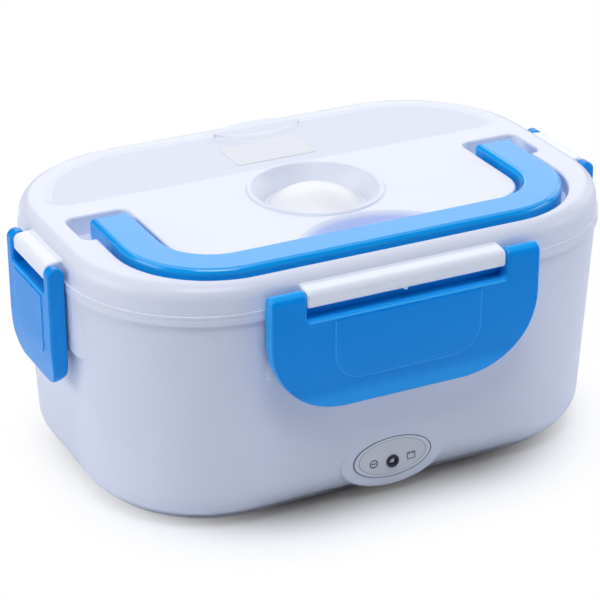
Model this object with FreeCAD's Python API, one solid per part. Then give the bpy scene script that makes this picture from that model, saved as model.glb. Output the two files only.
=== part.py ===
import FreeCAD, Part
import math
import os

# Electric lunch box: a heated tub in a plastic housing, food containers, and a clip-on lid with a
# carrying handle, a spoon compartment and a steam vent.
# Millimetres. Origin on the ground under the middle. X runs along the long side, the front faces -Y,
# Z is up. A size called an inset is measured inward from the outline of the parting line.

Vector = FreeCAD.Vector
UP = Vector(0, 0, 1)

# Overall form
LENGTH = 230.0
DEPTH = 155.0
CORNER_RADIUS = 57.0
PARTING_Z = 93.4
LID_HEIGHT = 12.6
HALF_X = LENGTH / 2
HALF_Y = DEPTH / 2
LID_TOP = PARTING_Z + LID_HEIGHT

# Clearances
BODY_GAP = 0.3          # between pieces that come apart
SLIDE_GAP = 0.5         # round the edge of a piece that lifts out
BORE_GAP = 0.05         # round a hinge peg

# Making
TOUCH = 1e-4            # how near two coordinates count as one
BEYOND = 1.0            # how far a cutting tool reaches past a face
FULL_ROUND_TRIM = 1e-3  # keeps a short flat between two full round ends

# Feet and base cover
FOOT_STAND = 1.0
FOOT_SEAT = 0.8
FOOT_RADIUS = 6.0
FOOT_FROM_END = 31.0
FOOT_FROM_SIDE = 34.5
FOOT_X = HALF_X - FOOT_FROM_END
FOOT_Y = HALF_Y - FOOT_FROM_SIDE
COVER_THICKNESS = 1.6
COVER_INSET = 14.0
VENT_SLOT_LENGTH = 26.0
VENT_SLOT_WIDTH = 2.2
VENT_SLOT_PITCH = 7.0
VENT_SLOT_COUNT = 5
COVER_TOP = FOOT_STAND + COVER_THICKNESS

# Housing
HOUSING_WALL = 2.4
HOUSING_DRAFT = 4.6
HOUSING_BOTTOM_RADIUS = 12.0
RIM_STEP = 0.9
RIM_THICKNESS = 2.4
HOUSING_TOP = PARTING_Z - RIM_THICKNESS
OPENING_INSET = 21.0

# Pads that the latches close on
PAD_INSET = 0.6
PAD_DEPTH = 9.0
PAD_HEIGHT = 27.0
PAD_BOTTOM_Z = HOUSING_TOP - PAD_HEIGHT
PAD_ROUND = 0.8
PAD_BLEND = 12.0        # radius where the pad meets its slanted ends
PAD_SHORTER = 4.0
PAD_SPREAD = 12.0

# Oval bosses low on the front and back walls
BOSS_HALF_WIDTH = 23.5
BOSS_HALF_HEIGHT = 13.0
BOSS_Z = 16.5
BOSS_INSET = 4.4
BOSS_DEPTH = 9.0
BOSS_ROUND = 1.0

# Indicator
PANEL_HALF_WIDTH = 17.5
PANEL_HALF_HEIGHT = 8.7
PANEL_THICKNESS = 1.0
PANEL_PROUD = 0.25
LED_Z = 14.4
BEZEL_RADIUS = 2.3
BEZEL_PROUD = 0.5
BEZEL_LENGTH = 8.0
LENS_RADIUS = 1.4
LED_LENGTH = 3.0
BOARD_HALF_WIDTH = 11.0
BOARD_HALF_HEIGHT = 4.0
BOARD_THICKNESS = 1.4
POST_RADIUS = 1.8
POST_X = 8.0

# Power inlet
INLET_FLANGE_HALF_WIDTH = 13.0
INLET_FLANGE_THICKNESS = 1.4
INLET_HALF_WIDTH = 10.0
INLET_HALF_HEIGHT = 5.6
INLET_LENGTH = 17.0
INLET_RECESS_HALF_WIDTH = 8.2
INLET_RECESS_HALF_HEIGHT = 4.3
INLET_RECESS_DEPTH = 12.0
INLET_FLANGE_BORDER = 2.4
PIN_RADIUS = 1.2
PIN_PITCH = 8.6
PIN_RECESSED = 2.0
TAG_LENGTH = 4.0

# Inner tub
TUB_WALL = 1.8
MOUTH_INSET = 10.0
TUB_DRAFT = 3.0
TUB_FLOOR_Z = 24.0
TUB_BOTTOM_RADIUS = 8.0
SEAT_INSET = 6.2
SEAT_DEPTH = 3.0
FLANGE_THICKNESS = 2.0
SPIGOT_GAP = 0.2

# Heater under the tub
PLATE_FROM_END = 39.0
PLATE_FROM_SIDE = 35.5
PLATE_HALF_LENGTH = HALF_X - PLATE_FROM_END
PLATE_HALF_WIDTH = HALF_Y - PLATE_FROM_SIDE
PLATE_RADIUS = 18.0
HATCH_SHORTER = 14.0
HATCH_NARROWER = 22.0
HATCH_HALF_LENGTH = PLATE_HALF_LENGTH - HATCH_SHORTER
HATCH_HALF_WIDTH = PLATE_HALF_WIDTH - HATCH_NARROWER
HATCH_RADIUS = 4.0
PLATE_THICKNESS = 1.5
HEATER_END_ROOM = 31.0
HEATER_SIDE_ROOM = 8.0
HEATER_LENGTH = 2 * (HATCH_HALF_LENGTH - HEATER_END_ROOM)
HEATER_WIDTH = 2 * (HATCH_HALF_WIDTH - HEATER_SIDE_ROOM)
HEATER_HEIGHT = 5.0
STRAP_THICKNESS = 1.0
STRAP_WIDTH = 14.0
STRAP_FOOT = 9.0
STRAP_SCREW_RADIUS = 1.25
STRAP_SCREW_HEAD_RADIUS = 2.4
STRAP_SCREW_HEAD = 1.4
THERMOSTAT_RADIUS = 8.0
THERMOSTAT_HEIGHT = 5.0
THERMOSTAT_END_ROOM = 14.0
THERMOSTAT_X = HATCH_HALF_LENGTH - THERMOSTAT_END_ROOM
FUSE_RADIUS = 2.0
FUSE_LENGTH = 11.0
FUSE_END_ROOM = 15.0
FUSE_X = -(HATCH_HALF_LENGTH - FUSE_END_ROOM)
WIRE_RADIUS = 0.9
WIRE_Z = 12.0
WIRE_PIN_LEAD = 7.0
WIRE_LEAD = 12.0
WIRE_DROP = 14.0
WIRE_HEATER_Y = -4.0
WIRE_HEATER_LEAD = 6.0
WIRE_HEATER_DROP = 16.0
BOARD_WIRE_X = 6.6
BEND_SHARE = 0.45       # of the shorter run that each bend takes

# Screws of the base cover and the posts they go into
SCREW_FROM_END = 57.0
SCREW_FROM_SIDE = 37.5
SCREW_X = HALF_X - SCREW_FROM_END
SCREW_Y = HALF_Y - SCREW_FROM_SIDE
SCREW_POST_RADIUS = 4.0
SCREW_RADIUS = 1.5
SCREW_LENGTH = 11.0
SCREW_HEAD_RADIUS = 2.8
SCREW_HEAD = 1.0

# Food containers
CONTAINER_WALL = 1.5
CONTAINER_GAP = 0.8
CONTAINER_RIM = 1.7
CONTAINER_BOTTOM_RADIUS = 9.0
SHELF_DROP = 3.0
SHELF_WIDTH = 4.0
SMALL_LENGTH = 91.0
SMALL_LEFT_X = HALF_X - SMALL_LENGTH
SMALL_GAP = 2.6         # round the small container's rim
SMALL_FROM_END = 3.0    # further in than that at the right end
SMALL_FLAT = 5.5        # half its straight part there
SMALL_RADIUS = HALF_Y - SMALL_FLAT
SMALL_DEPTH = 32.0
SMALL_WALL = 1.3
SMALL_LIP = 4.0
SMALL_CORNER = 9.0
SMALL_RIM = 1.2
SMALL_LID_THICKNESS = 1.2

# Lid
LID_WALL = 2.2
LID_DRAFT = 1.1
LID_EDGE_RADIUS = 6.0
LIP_HEIGHT = 1.2
LIP_STEP = 0.5
LID_BOTTOM = PARTING_Z + BODY_GAP
RECESS_WALL = 2.0
RECESS_ROUND = 1.0
BAY_ROUND = 0.6

# Lid inner cover and gasket
INNER_COVER_THICKNESS = 1.6
GASKET_WIDTH = 2.6
GASKET_HEIGHT = 1.6
GASKET_SETBACK = 0.5

# Carrying handle
HANDLE_FROM_END = 20.3
HANDLE_FROM_FRONT = 10.3
HANDLE_HALF = HALF_X - HANDLE_FROM_END
HANDLE_FRONT_Y = -(HALF_Y - HANDLE_FROM_FRONT)
HANDLE_END_Y = 1.5
HANDLE_WIDTH = 16.0
HANDLE_THICKNESS = 9.0
HANDLE_PROUD = 2.8
HANDLE_CORNER = 37.4
HANDLE_ROUND = 2.2
HANDLE_END_ROUND = 2.2
PIVOT_FROM_END = 3.9
PIVOT_DROP = 3.9
PIVOT_Z = LID_TOP - PIVOT_DROP
PIVOT_RADIUS = 1.6
TROUGH_GAP = 2.5
TROUGH_FLOOR_GAP = 0.4
POCKET_OUTWARD = 7.8
POCKET_FORWARD = 13.3
POCKET_BACKWARD = 9.1
POCKET_FRONT_Y = HANDLE_END_Y - POCKET_FORWARD
POCKET_BACK_Y = HANDLE_END_Y + POCKET_BACKWARD
POCKET_CORNER = 4.0
POCKET_DEPTH = 8.1
POCKET_FLOOR_Z = LID_TOP - POCKET_DEPTH
SCOOP_RADIUS = 105.0
SCOOP_FORWARD = 5.7
SCOOP_CENTRE_Y = HANDLE_FRONT_Y - SCOOP_FORWARD
SCOOP_HALF_WIDTH = 38.4

# Spoon compartment
BAY_FRONT_SHARE = 0.1523  # of the whole depth
BAY_FRONT_Y = BAY_FRONT_SHARE * DEPTH
BAY_INSET = 11.5
BAY_CORNER = 8.0
BAY_LEDGE = 3.0
BAY_DEPTH = 8.1
BAY_FLOOR_Z = LID_TOP - BAY_DEPTH
WINDOW_THICKNESS = 1.6
WINDOW_PROUD = 0.2
WINDOW_SKIRT = 1.8
WINDOW_SKIRT_WALL = 1.2
TAB_X = 6.0
TAB_HALF_WIDTH = 20.0
TAB_HALF_DEPTH = 8.0
TAB_HEIGHT = 1.6
TAB_FROM_EDGE = 5.0
LABEL_WIDTH = 36.0
LABEL_SETBACK = 5.9
LABEL_TO_TAB = 5.0
LABEL_THICKNESS = 0.2
SPOON_LENGTH = 150.0
BOWL_HALF_LENGTH = 21.0
BOWL_HALF_WIDTH = 14.5
BOWL_DEPTH = 5.0
SPOON_THICKNESS = 1.4
SPOON_NECK_WIDTH = 7.0
SPOON_END_WIDTH = 15.0
SPOON_END_ROUND = 7.0

# Steam vent
RING_RADIUS = 28.4
RING_TO_BAY = 0.7
VENT_Y = BAY_FRONT_Y - RING_TO_BAY - RING_RADIUS
RING_WIDTH = 2.8
RING_PROUD = 0.8
WELL_FLOOR_RADIUS = 20.5
WELL_DEPTH = 6.6
WELL_FLOOR_Z = LID_TOP - WELL_DEPTH
DOME_RADIUS = 18.6
DOME_HEIGHT = 7.4
DOME_WALL = 1.6
STEM_RADIUS = 4.0
STEM_LENGTH = 6.0

# Latches and the knuckle bars they hang on
LATCH_OUT = 7.2
LATCH_WALL = 2.2
LATCH_DROP = 14.0       # below the pads
LATCH_BOTTOM_Z = PAD_BOTTOM_Z - LATCH_DROP
LATCH_CURL_RISE = 18.0
LATCH_CURL_Z = LATCH_BOTTOM_Z + LATCH_CURL_RISE
LATCH_CURL = 1.8
LATCH_CURL_SAG = 0.58
LATCH_TOE = 0.5
LATCH_HEEL = 7.0
NOTCH_DROP = 3.8        # below the parting line
NOTCH_Z = PARTING_Z - NOTCH_DROP
NOTCH_GAP = 0.45
NOTCH_ROUND = 2.0
AXIS_RISE = 4.7         # above the parting line
AXIS_Z = PARTING_Z + AXIS_RISE
PEG_RADIUS = 1.35
PEG_LENGTH = 3.0
BAR_OUT = 6.4
BAR_RISE = 1.0          # above the lid's lower edge
BAR_HEIGHT = 7.5
BAR_BOTTOM_Z = LID_BOTTOM + BAR_RISE
BAR_TOP_Z = BAR_BOTTOM_Z + BAR_HEIGHT
BAR_SLOPE = 0.9
BAR_ROUND = 2.4
BAR_ROOT = 2.0
BAR_END_ROUND = 1.0
BAR_RIB_HEIGHT = 1.5
BAR_RIB_HALF_WIDTH = 0.6
BAR_RIB_SETBACK = 2.0
HOOK_THICKNESS = 2.0
HOOK_DROP = 0.3
HOOK_SHORTER = 4.0
PANEL_RAISE = 0.35
PANEL_TOP_DROP = 1.6
PANEL_BOTTOM_RISE = 12.0
LATCH_ROUND = 1.2
FACING_LEAST = 0.5      # how squarely a face looks outward to count as a latch's front
LATCH_BACK = BODY_GAP
AXIS_OUT = (LATCH_BACK + LATCH_OUT) / 2
EAR_RADIUS = (LATCH_OUT - LATCH_BACK) / 2
LONG_SHORTER = 0.2
LONG_HALF = HALF_X - CORNER_RADIUS - LONG_SHORTER
LONG_EAR = 15.05
LONG_CORNER = 32.0
LONG_PANEL_BORDER = 26.3
LONG_PANEL_CORNER = 12.0
SHORT_BEYOND = 2.5
SHORT_HALF = HALF_Y - CORNER_RADIUS + SHORT_BEYOND
SHORT_EAR = 6.2
SHORT_CORNER = 11.0
SHORT_PANEL_BORDER = 8.5
SHORT_PANEL_CORNER = 5.0
LONG_LATCH = {"half": LONG_HALF, "bar": LONG_HALF - LONG_EAR, "corner": LONG_CORNER,
              "border": LONG_PANEL_BORDER, "panel_corner": LONG_PANEL_CORNER}
SHORT_LATCH = {"half": SHORT_HALF, "bar": SHORT_HALF - SHORT_EAR, "corner": SHORT_CORNER,
               "border": SHORT_PANEL_BORDER, "panel_corner": SHORT_PANEL_CORNER}
LATCHES = {"front": LONG_LATCH, "right": SHORT_LATCH, "back": LONG_LATCH, "left": SHORT_LATCH}
OUTWARD = {"front": HALF_Y, "right": HALF_X, "back": HALF_Y, "left": HALF_X}
QUARTER_TURNS = {"front": 0, "right": 1, "back": 2, "left": 3}


# Shape helpers

def rounded_wire(half_x, half_y, radius, z, centre=(0.0, 0.0)):
    """Rounded rectangle in a level plane, as four lines and four arcs."""
    edges = []
    corners = ((1, 1, 0), (-1, 1, 90), (-1, -1, 180), (1, -1, 270))
    arcs = []
    for sign_x, sign_y, start in corners:
        middle = Vector(centre[0] + sign_x * (half_x - radius), centre[1] + sign_y * (half_y - radius), z)
        arcs.append(Part.makeCircle(radius, middle, UP, start, start + 90))
    for index, arc in enumerate(arcs):
        following = arcs[(index + 1) % len(arcs)]
        edges.append(arc)
        edges.append(Part.makeLine(arc.Vertexes[-1].Point, following.Vertexes[0].Point))
    return Part.Wire(edges)


def plan_wire(inset, z):
    """The parting outline moved inward by the inset."""
    return rounded_wire(HALF_X - inset, HALF_Y - inset, CORNER_RADIUS - inset, z)


def prism(wire, height):
    return Part.Face(wire).extrude(Vector(0, 0, height))


def plan_prism(inset, z0, z1):
    return prism(plan_wire(inset, z0), z1 - z0)


def tapered(inset_low, z_low, inset_high, z_high):
    """Drafted block between two insets of the parting outline."""
    return Part.makeLoft([plan_wire(inset_low, z_low), plan_wire(inset_high, z_high)], True, True)


def edges_at(shape, z):
    """Edges that lie in the level plane at z."""
    return [e for e in shape.Edges if abs(e.BoundBox.ZMin - z) < TOUCH and abs(e.BoundBox.ZMax - z) < TOUCH]


def upright_edges(shape):
    """Straight edges that run along Z."""
    found = []
    for edge in shape.Edges:
        box = edge.BoundBox
        if box.XLength < TOUCH and box.YLength < TOUCH:
            found.append(edge)
    return found


def box_between(low, high):
    size = Vector(*high) - Vector(*low)
    return Part.makeBox(size.x, size.y, size.z, Vector(*low))


def oval_disc(half_width, half_height, y_front, thickness, z, x=0.0):
    """Upright elliptical disc whose front face is at y_front."""
    disc = Part.Face(Part.Wire(Part.Ellipse(Vector(0, 0, 0), half_width, half_height).toShape()))
    disc.rotate(Vector(0, 0, 0), Vector(1, 0, 0), 90)
    disc.translate(Vector(x, y_front, z))
    return disc.extrude(Vector(0, thickness, 0))


def stadium(half_width, half_height, y_front, thickness, z):
    """Upright slot-shaped block with full round ends."""
    wire = rounded_wire(half_width, half_height, half_height - FULL_ROUND_TRIM, 0)
    block = Part.Face(wire)
    block.rotate(Vector(0, 0, 0), Vector(1, 0, 0), 90)
    block.translate(Vector(0, y_front, z))
    return block.extrude(Vector(0, thickness, 0))


def rod_y(radius, y0, y1, x, z):
    return Part.makeCylinder(radius, y1 - y0, Vector(x, y0, z), Vector(0, 1, 0))


def rod_x(radius, x0, x1, y, z):
    return Part.makeCylinder(radius, x1 - x0, Vector(x0, y, z), Vector(1, 0, 0))


def rod_z(radius, z0, z1, x, y):
    return Part.makeCylinder(radius, z1 - z0, Vector(x, y, z0), UP)


def on_side(shape, side):
    """Move a shape from the working frame, where -Y points outward and y is 0 at the parting outline."""
    placed = shape.copy()
    placed.translate(Vector(0, -OUTWARD[side], 0))
    placed.rotate(Vector(0, 0, 0), UP, 90 * QUARTER_TURNS[side])
    return placed


def extrude_profile(points, x0, x1):
    """Extrude along X a closed outline given as (outward distance, z)."""
    corners = [Vector(x0, -out, z) for out, z in points]
    return Part.Face(Part.makePolygon(corners + corners[:1])).extrude(Vector(x1 - x0, 0, 0))


def four_corners(x, y):
    return [(sign_x * x, sign_y * y) for sign_x in (-1, 1) for sign_y in (-1, 1)]


def joined(shapes):
    return shapes[0].fuse(shapes[1:]).removeSplitter()


def bent_wire(points, radius):
    """Round wire along straight runs joined by tangent arcs."""
    edges = []
    start = points[0]
    for before, corner, after in zip(points, points[1:], points[2:]):
        into = (corner - before).normalize()
        away = (after - corner).normalize()
        turn = into.getAngle(away)
        shorter = min((corner - before).Length, (after - corner).Length)
        trim = BEND_SHARE * shorter
        bend = trim / math.tan(turn / 2)
        arc_start = corner - into * trim
        arc_end = corner + away * trim
        inward = (away - into).normalize()
        middle = corner + inward * (bend / math.cos(turn / 2) - bend)
        edges.append(Part.makeLine(start, arc_start))
        edges.append(Part.Arc(arc_start, middle, arc_end).toShape())
        start = arc_end
    edges.append(Part.makeLine(start, points[-1]))
    path = Part.Wire(edges)
    section = Part.Wire(Part.makeCircle(radius, points[0], points[1] - points[0]))
    return path.makePipeShell([section], True, False)


# Base: housing, tub and heater

def wall_inset(z):
    """Inset of the housing's drafted wall at a height."""
    return RIM_STEP + HOUSING_DRAFT * (HOUSING_TOP - z) / (HOUSING_TOP - COVER_TOP)


def latch_pad(side):
    """Flat pad on the drafted wall, blending out sideways, whose lower edge is the catch of the latch."""
    half = LATCHES[side]["half"] - PAD_SHORTER
    wide = half + PAD_SPREAD
    plan = [(half, PAD_INSET), (wide, PAD_DEPTH), (-wide, PAD_DEPTH), (-half, PAD_INSET)]
    corners = [Vector(x, y, PAD_BOTTOM_Z) for x, y in plan]
    pad = prism(Part.makePolygon(corners + corners[:1]), HOUSING_TOP - PAD_BOTTOM_Z)
    blend = [e for e in upright_edges(pad) if abs(e.BoundBox.YMin - PAD_INSET) < TOUCH]
    pad = pad.makeFillet(PAD_BLEND, blend)
    front = [e for e in edges_at(pad, PAD_BOTTOM_Z) if e.BoundBox.YMin < PAD_DEPTH - BEYOND]
    return on_side(pad.makeFillet(PAD_ROUND, front), side)


def oval_boss(y_face, direction):
    boss = oval_disc(BOSS_HALF_WIDTH, BOSS_HALF_HEIGHT, y_face, direction * BOSS_DEPTH, BOSS_Z)
    rim = [e for e in boss.Edges if e.BoundBox.YLength < TOUCH and abs(e.BoundBox.YMin - y_face) < TOUCH]
    return boss.makeFillet(BOSS_ROUND, rim)


BOSS_FRONT_Y = -(HALF_Y - BOSS_INSET)
BOSS_BACK_Y = HALF_Y - BOSS_INSET
BOARD_Y = BOSS_FRONT_Y - BEZEL_PROUD + BEZEL_LENGTH


def base_housing():
    outer = tapered(wall_inset(COVER_TOP), COVER_TOP, RIM_STEP, HOUSING_TOP)
    outer = outer.makeFillet(HOUSING_BOTTOM_RADIUS, edges_at(outer, COVER_TOP))
    floor_top = COVER_TOP + HOUSING_WALL
    inner = tapered(wall_inset(floor_top) + HOUSING_WALL, floor_top, RIM_STEP + HOUSING_WALL, HOUSING_TOP)
    inner = inner.makeFillet(HOUSING_BOTTOM_RADIUS - HOUSING_WALL, edges_at(inner, floor_top))
    opening = plan_prism(OPENING_INSET, COVER_TOP - BEYOND, floor_top + BEYOND)
    posts = []
    for x in (-POST_X, POST_X):
        posts.append(rod_y(POST_RADIUS, BOSS_FRONT_Y + HOUSING_WALL, BOARD_Y, x, LED_Z))
    bosses = [oval_boss(BOSS_FRONT_Y, 1), oval_boss(BOSS_BACK_Y, -1)]
    shell = outer.fuse([latch_pad(side) for side in LATCHES] + bosses)
    shell = shell.cut(inner).cut(opening).fuse(posts)
    panel_seat = oval_disc(PANEL_HALF_WIDTH, PANEL_HALF_HEIGHT, BOSS_FRONT_Y - BEYOND,
                           BEYOND + PANEL_THICKNESS - PANEL_PROUD, BOSS_Z)
    bezel_hole = rod_y(BEZEL_RADIUS, BOSS_FRONT_Y - BEYOND, BOARD_Y, 0, LED_Z)
    inlet_hole = stadium(INLET_HALF_WIDTH, INLET_HALF_HEIGHT, BOSS_BACK_Y - BOSS_DEPTH - BEYOND,
                         BOSS_DEPTH + 2 * BEYOND, BOSS_Z)
    flange_seat = stadium(INLET_FLANGE_HALF_WIDTH, INLET_HALF_HEIGHT + INLET_FLANGE_BORDER, BOSS_BACK_Y,
                          INLET_FLANGE_THICKNESS, BOSS_Z)
    return shell.cut([panel_seat, bezel_hole, inlet_hole, flange_seat]).removeSplitter()


def base_cover():
    plate = plan_prism(COVER_INSET, FOOT_STAND, COVER_TOP)
    tools = []
    for x, y in four_corners(FOOT_X, FOOT_Y):
        tools.append(rod_z(FOOT_RADIUS, FOOT_STAND, FOOT_STAND + FOOT_SEAT, x, y))
    for x, y in four_corners(SCREW_X, SCREW_Y):
        tools.append(rod_z(SCREW_RADIUS, FOOT_STAND, COVER_TOP, x, y))
        tools.append(rod_z(SCREW_HEAD_RADIUS, FOOT_STAND, FOOT_STAND + SCREW_HEAD, x, y))
    for index in range(VENT_SLOT_COUNT):
        y = (index - (VENT_SLOT_COUNT - 1) / 2) * VENT_SLOT_PITCH
        wire = rounded_wire(VENT_SLOT_LENGTH / 2, VENT_SLOT_WIDTH / 2, VENT_SLOT_WIDTH / 2 - FULL_ROUND_TRIM,
                            FOOT_STAND, (0, y))
        tools.append(prism(wire, COVER_THICKNESS))
    return plate.cut(tools)


def feet():
    return Part.makeCompound([rod_z(FOOT_RADIUS, 0, FOOT_STAND + FOOT_SEAT, x, y)
                              for x, y in four_corners(FOOT_X, FOOT_Y)])


def base_screws():
    screws = []
    for x, y in four_corners(SCREW_X, SCREW_Y):
        head = rod_z(SCREW_HEAD_RADIUS, FOOT_STAND, FOOT_STAND + SCREW_HEAD, x, y)
        shank = rod_z(SCREW_RADIUS, FOOT_STAND + SCREW_HEAD, FOOT_STAND + SCREW_LENGTH, x, y)
        screws.append(head.fuse(shank))
    return Part.makeCompound(screws)


TUB_UNDERSIDE = TUB_FLOOR_Z - TUB_WALL
SEAT_Z = PARTING_Z - SEAT_DEPTH
FLANGE_BOTTOM = SEAT_Z - FLANGE_THICKNESS
FLANGE_INSET = RIM_STEP + HOUSING_WALL + SPIGOT_GAP
STRAP_Y = HATCH_HALF_WIDTH + STRAP_FOOT / 2


def tub_rim():
    """Ring that closes the housing's edge and frames the tub's flange."""
    cap = plan_prism(0, HOUSING_TOP, PARTING_Z)
    cap = cap.makeFillet(RIM_THICKNESS / 4, edges_at(cap, PARTING_Z))
    spigot = plan_prism(FLANGE_INSET, SEAT_Z, HOUSING_TOP)
    return joined([cap, spigot]).cut(plan_prism(SEAT_INSET, SEAT_Z, PARTING_Z))


def inner_tub():
    flange = plan_prism(FLANGE_INSET, FLANGE_BOTTOM, SEAT_Z)
    tub = tapered(MOUTH_INSET + TUB_DRAFT - TUB_WALL, TUB_UNDERSIDE, MOUTH_INSET - TUB_WALL, SEAT_Z)
    tub = tub.makeFillet(TUB_BOTTOM_RADIUS + TUB_WALL, edges_at(tub, TUB_UNDERSIDE))
    cavity = tapered(MOUTH_INSET + TUB_DRAFT, TUB_FLOOR_Z, MOUTH_INSET, PARTING_Z)
    cavity = cavity.makeFillet(TUB_BOTTOM_RADIUS, edges_at(cavity, TUB_FLOOR_Z))
    hatch = prism(rounded_wire(HATCH_HALF_LENGTH, HATCH_HALF_WIDTH, HATCH_RADIUS, TUB_UNDERSIDE), TUB_WALL)
    strap_holes = [rod_z(STRAP_SCREW_RADIUS, TUB_UNDERSIDE, TUB_FLOOR_Z, 0, y) for y in (-STRAP_Y, STRAP_Y)]
    return joined([flange, tub]).cut([cavity, hatch] + strap_holes)


def screw_posts():
    """Posts under the tub that stand on the base cover and take its screws."""
    posts = []
    for x, y in four_corners(SCREW_X, SCREW_Y):
        post = rod_z(SCREW_POST_RADIUS, COVER_TOP, TUB_UNDERSIDE, x, y)
        posts.append(post.cut(rod_z(SCREW_RADIUS, COVER_TOP, FOOT_STAND + SCREW_LENGTH, x, y)))
    return Part.makeCompound(posts)


def heating_plate():
    wire = rounded_wire(PLATE_HALF_LENGTH, PLATE_HALF_WIDTH, PLATE_RADIUS, TUB_FLOOR_Z)
    return prism(wire, PLATE_THICKNESS)


HEATER_BOTTOM = TUB_FLOOR_Z - HEATER_HEIGHT


def ptc_heater():
    low = (-HEATER_LENGTH / 2, -HEATER_WIDTH / 2, HEATER_BOTTOM)
    high = (HEATER_LENGTH / 2, HEATER_WIDTH / 2, TUB_FLOOR_Z)
    case = box_between(low, high)
    long_edges = [e for e in case.Edges if e.BoundBox.XLength > HEATER_LENGTH / 2]
    return case.makeFillet(HEATER_HEIGHT / 4, long_edges)


def heater_strap():
    """Spring steel strap that presses the heater against the plate."""
    y_leg = HEATER_WIDTH / 2 + STRAP_THICKNESS
    y_foot = HATCH_HALF_WIDTH
    y_end = HATCH_HALF_WIDTH + STRAP_FOOT
    low = HEATER_BOTTOM - STRAP_THICKNESS
    foot = TUB_UNDERSIDE - STRAP_THICKNESS
    under = [(-y_end, foot), (-y_foot, foot), (-y_leg, low), (y_leg, low), (y_foot, foot), (y_end, foot)]
    over = [(y, z + STRAP_THICKNESS) for y, z in reversed(under)]
    strap = extrude_profile(under + over, -STRAP_WIDTH / 2, STRAP_WIDTH / 2)
    return strap.cut([rod_z(STRAP_SCREW_RADIUS, foot, TUB_UNDERSIDE, 0, y) for y in (-STRAP_Y, STRAP_Y)])


def strap_screws():
    screws = []
    top = TUB_UNDERSIDE - STRAP_THICKNESS
    for y in (-STRAP_Y, STRAP_Y):
        head = rod_z(STRAP_SCREW_HEAD_RADIUS, top - STRAP_SCREW_HEAD, top, 0, y)
        screws.append(head.fuse(rod_z(STRAP_SCREW_RADIUS, top, TUB_FLOOR_Z, 0, y)))
    return Part.makeCompound(screws)


def thermostat():
    return rod_z(THERMOSTAT_RADIUS, TUB_FLOOR_Z - THERMOSTAT_HEIGHT, TUB_FLOOR_Z, THERMOSTAT_X, 0)


def thermal_fuse():
    return rod_y(FUSE_RADIUS, -FUSE_LENGTH / 2, FUSE_LENGTH / 2, FUSE_X, TUB_FLOOR_Z - FUSE_RADIUS)


INLET_OUTER_Y = BOSS_BACK_Y + INLET_FLANGE_THICKNESS
INLET_INNER_Y = INLET_OUTER_Y - INLET_LENGTH
TAG_Y = INLET_INNER_Y - TAG_LENGTH


def power_inlet():
    flange = stadium(INLET_FLANGE_HALF_WIDTH, INLET_HALF_HEIGHT + INLET_FLANGE_BORDER, BOSS_BACK_Y,
                     INLET_FLANGE_THICKNESS, BOSS_Z)
    body = stadium(INLET_HALF_WIDTH, INLET_HALF_HEIGHT, INLET_INNER_Y, INLET_LENGTH, BOSS_Z)
    recess = stadium(INLET_RECESS_HALF_WIDTH, INLET_RECESS_HALF_HEIGHT, INLET_OUTER_Y - INLET_RECESS_DEPTH,
                     INLET_RECESS_DEPTH, BOSS_Z)
    holes = [rod_y(PIN_RADIUS, INLET_INNER_Y, INLET_OUTER_Y, x, BOSS_Z)
             for x in (-PIN_PITCH / 2, PIN_PITCH / 2)]
    return flange.fuse(body).removeSplitter().cut([recess] + holes)


def inlet_pins():
    return Part.makeCompound([rod_y(PIN_RADIUS, TAG_Y, INLET_OUTER_Y - PIN_RECESSED, x, BOSS_Z)
                              for x in (-PIN_PITCH / 2, PIN_PITCH / 2)])


def indicator_panel():
    y_face = BOSS_FRONT_Y - PANEL_PROUD
    panel = oval_disc(PANEL_HALF_WIDTH, PANEL_HALF_HEIGHT, y_face, PANEL_THICKNESS, BOSS_Z)
    return panel.cut(rod_y(BEZEL_RADIUS, y_face, y_face + PANEL_THICKNESS, 0, LED_Z))


def led_bezel():
    y_face = BOSS_FRONT_Y - BEZEL_PROUD
    tube = rod_y(BEZEL_RADIUS, y_face, BOARD_Y, 0, LED_Z)
    return tube.cut(rod_y(LENS_RADIUS, y_face, BOARD_Y, 0, LED_Z))


def led_lens():
    """Light pipe with a domed tip, between the lamp and the face of the bezel."""
    y_face = BOSS_FRONT_Y - BEZEL_PROUD + LENS_RADIUS
    return rod_y(LENS_RADIUS, y_face, BOARD_Y - LED_LENGTH, 0, LED_Z).fuse(
        Part.makeSphere(LENS_RADIUS, Vector(0, y_face, LED_Z))).removeSplitter()


def led_board():
    board = box_between((-BOARD_HALF_WIDTH, BOARD_Y, LED_Z - BOARD_HALF_HEIGHT),
                        (BOARD_HALF_WIDTH, BOARD_Y + BOARD_THICKNESS, LED_Z + BOARD_HALF_HEIGHT))
    return board.fuse(rod_y(LENS_RADIUS, BOARD_Y - LED_LENGTH, BOARD_Y, 0, LED_Z)).removeSplitter()


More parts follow.
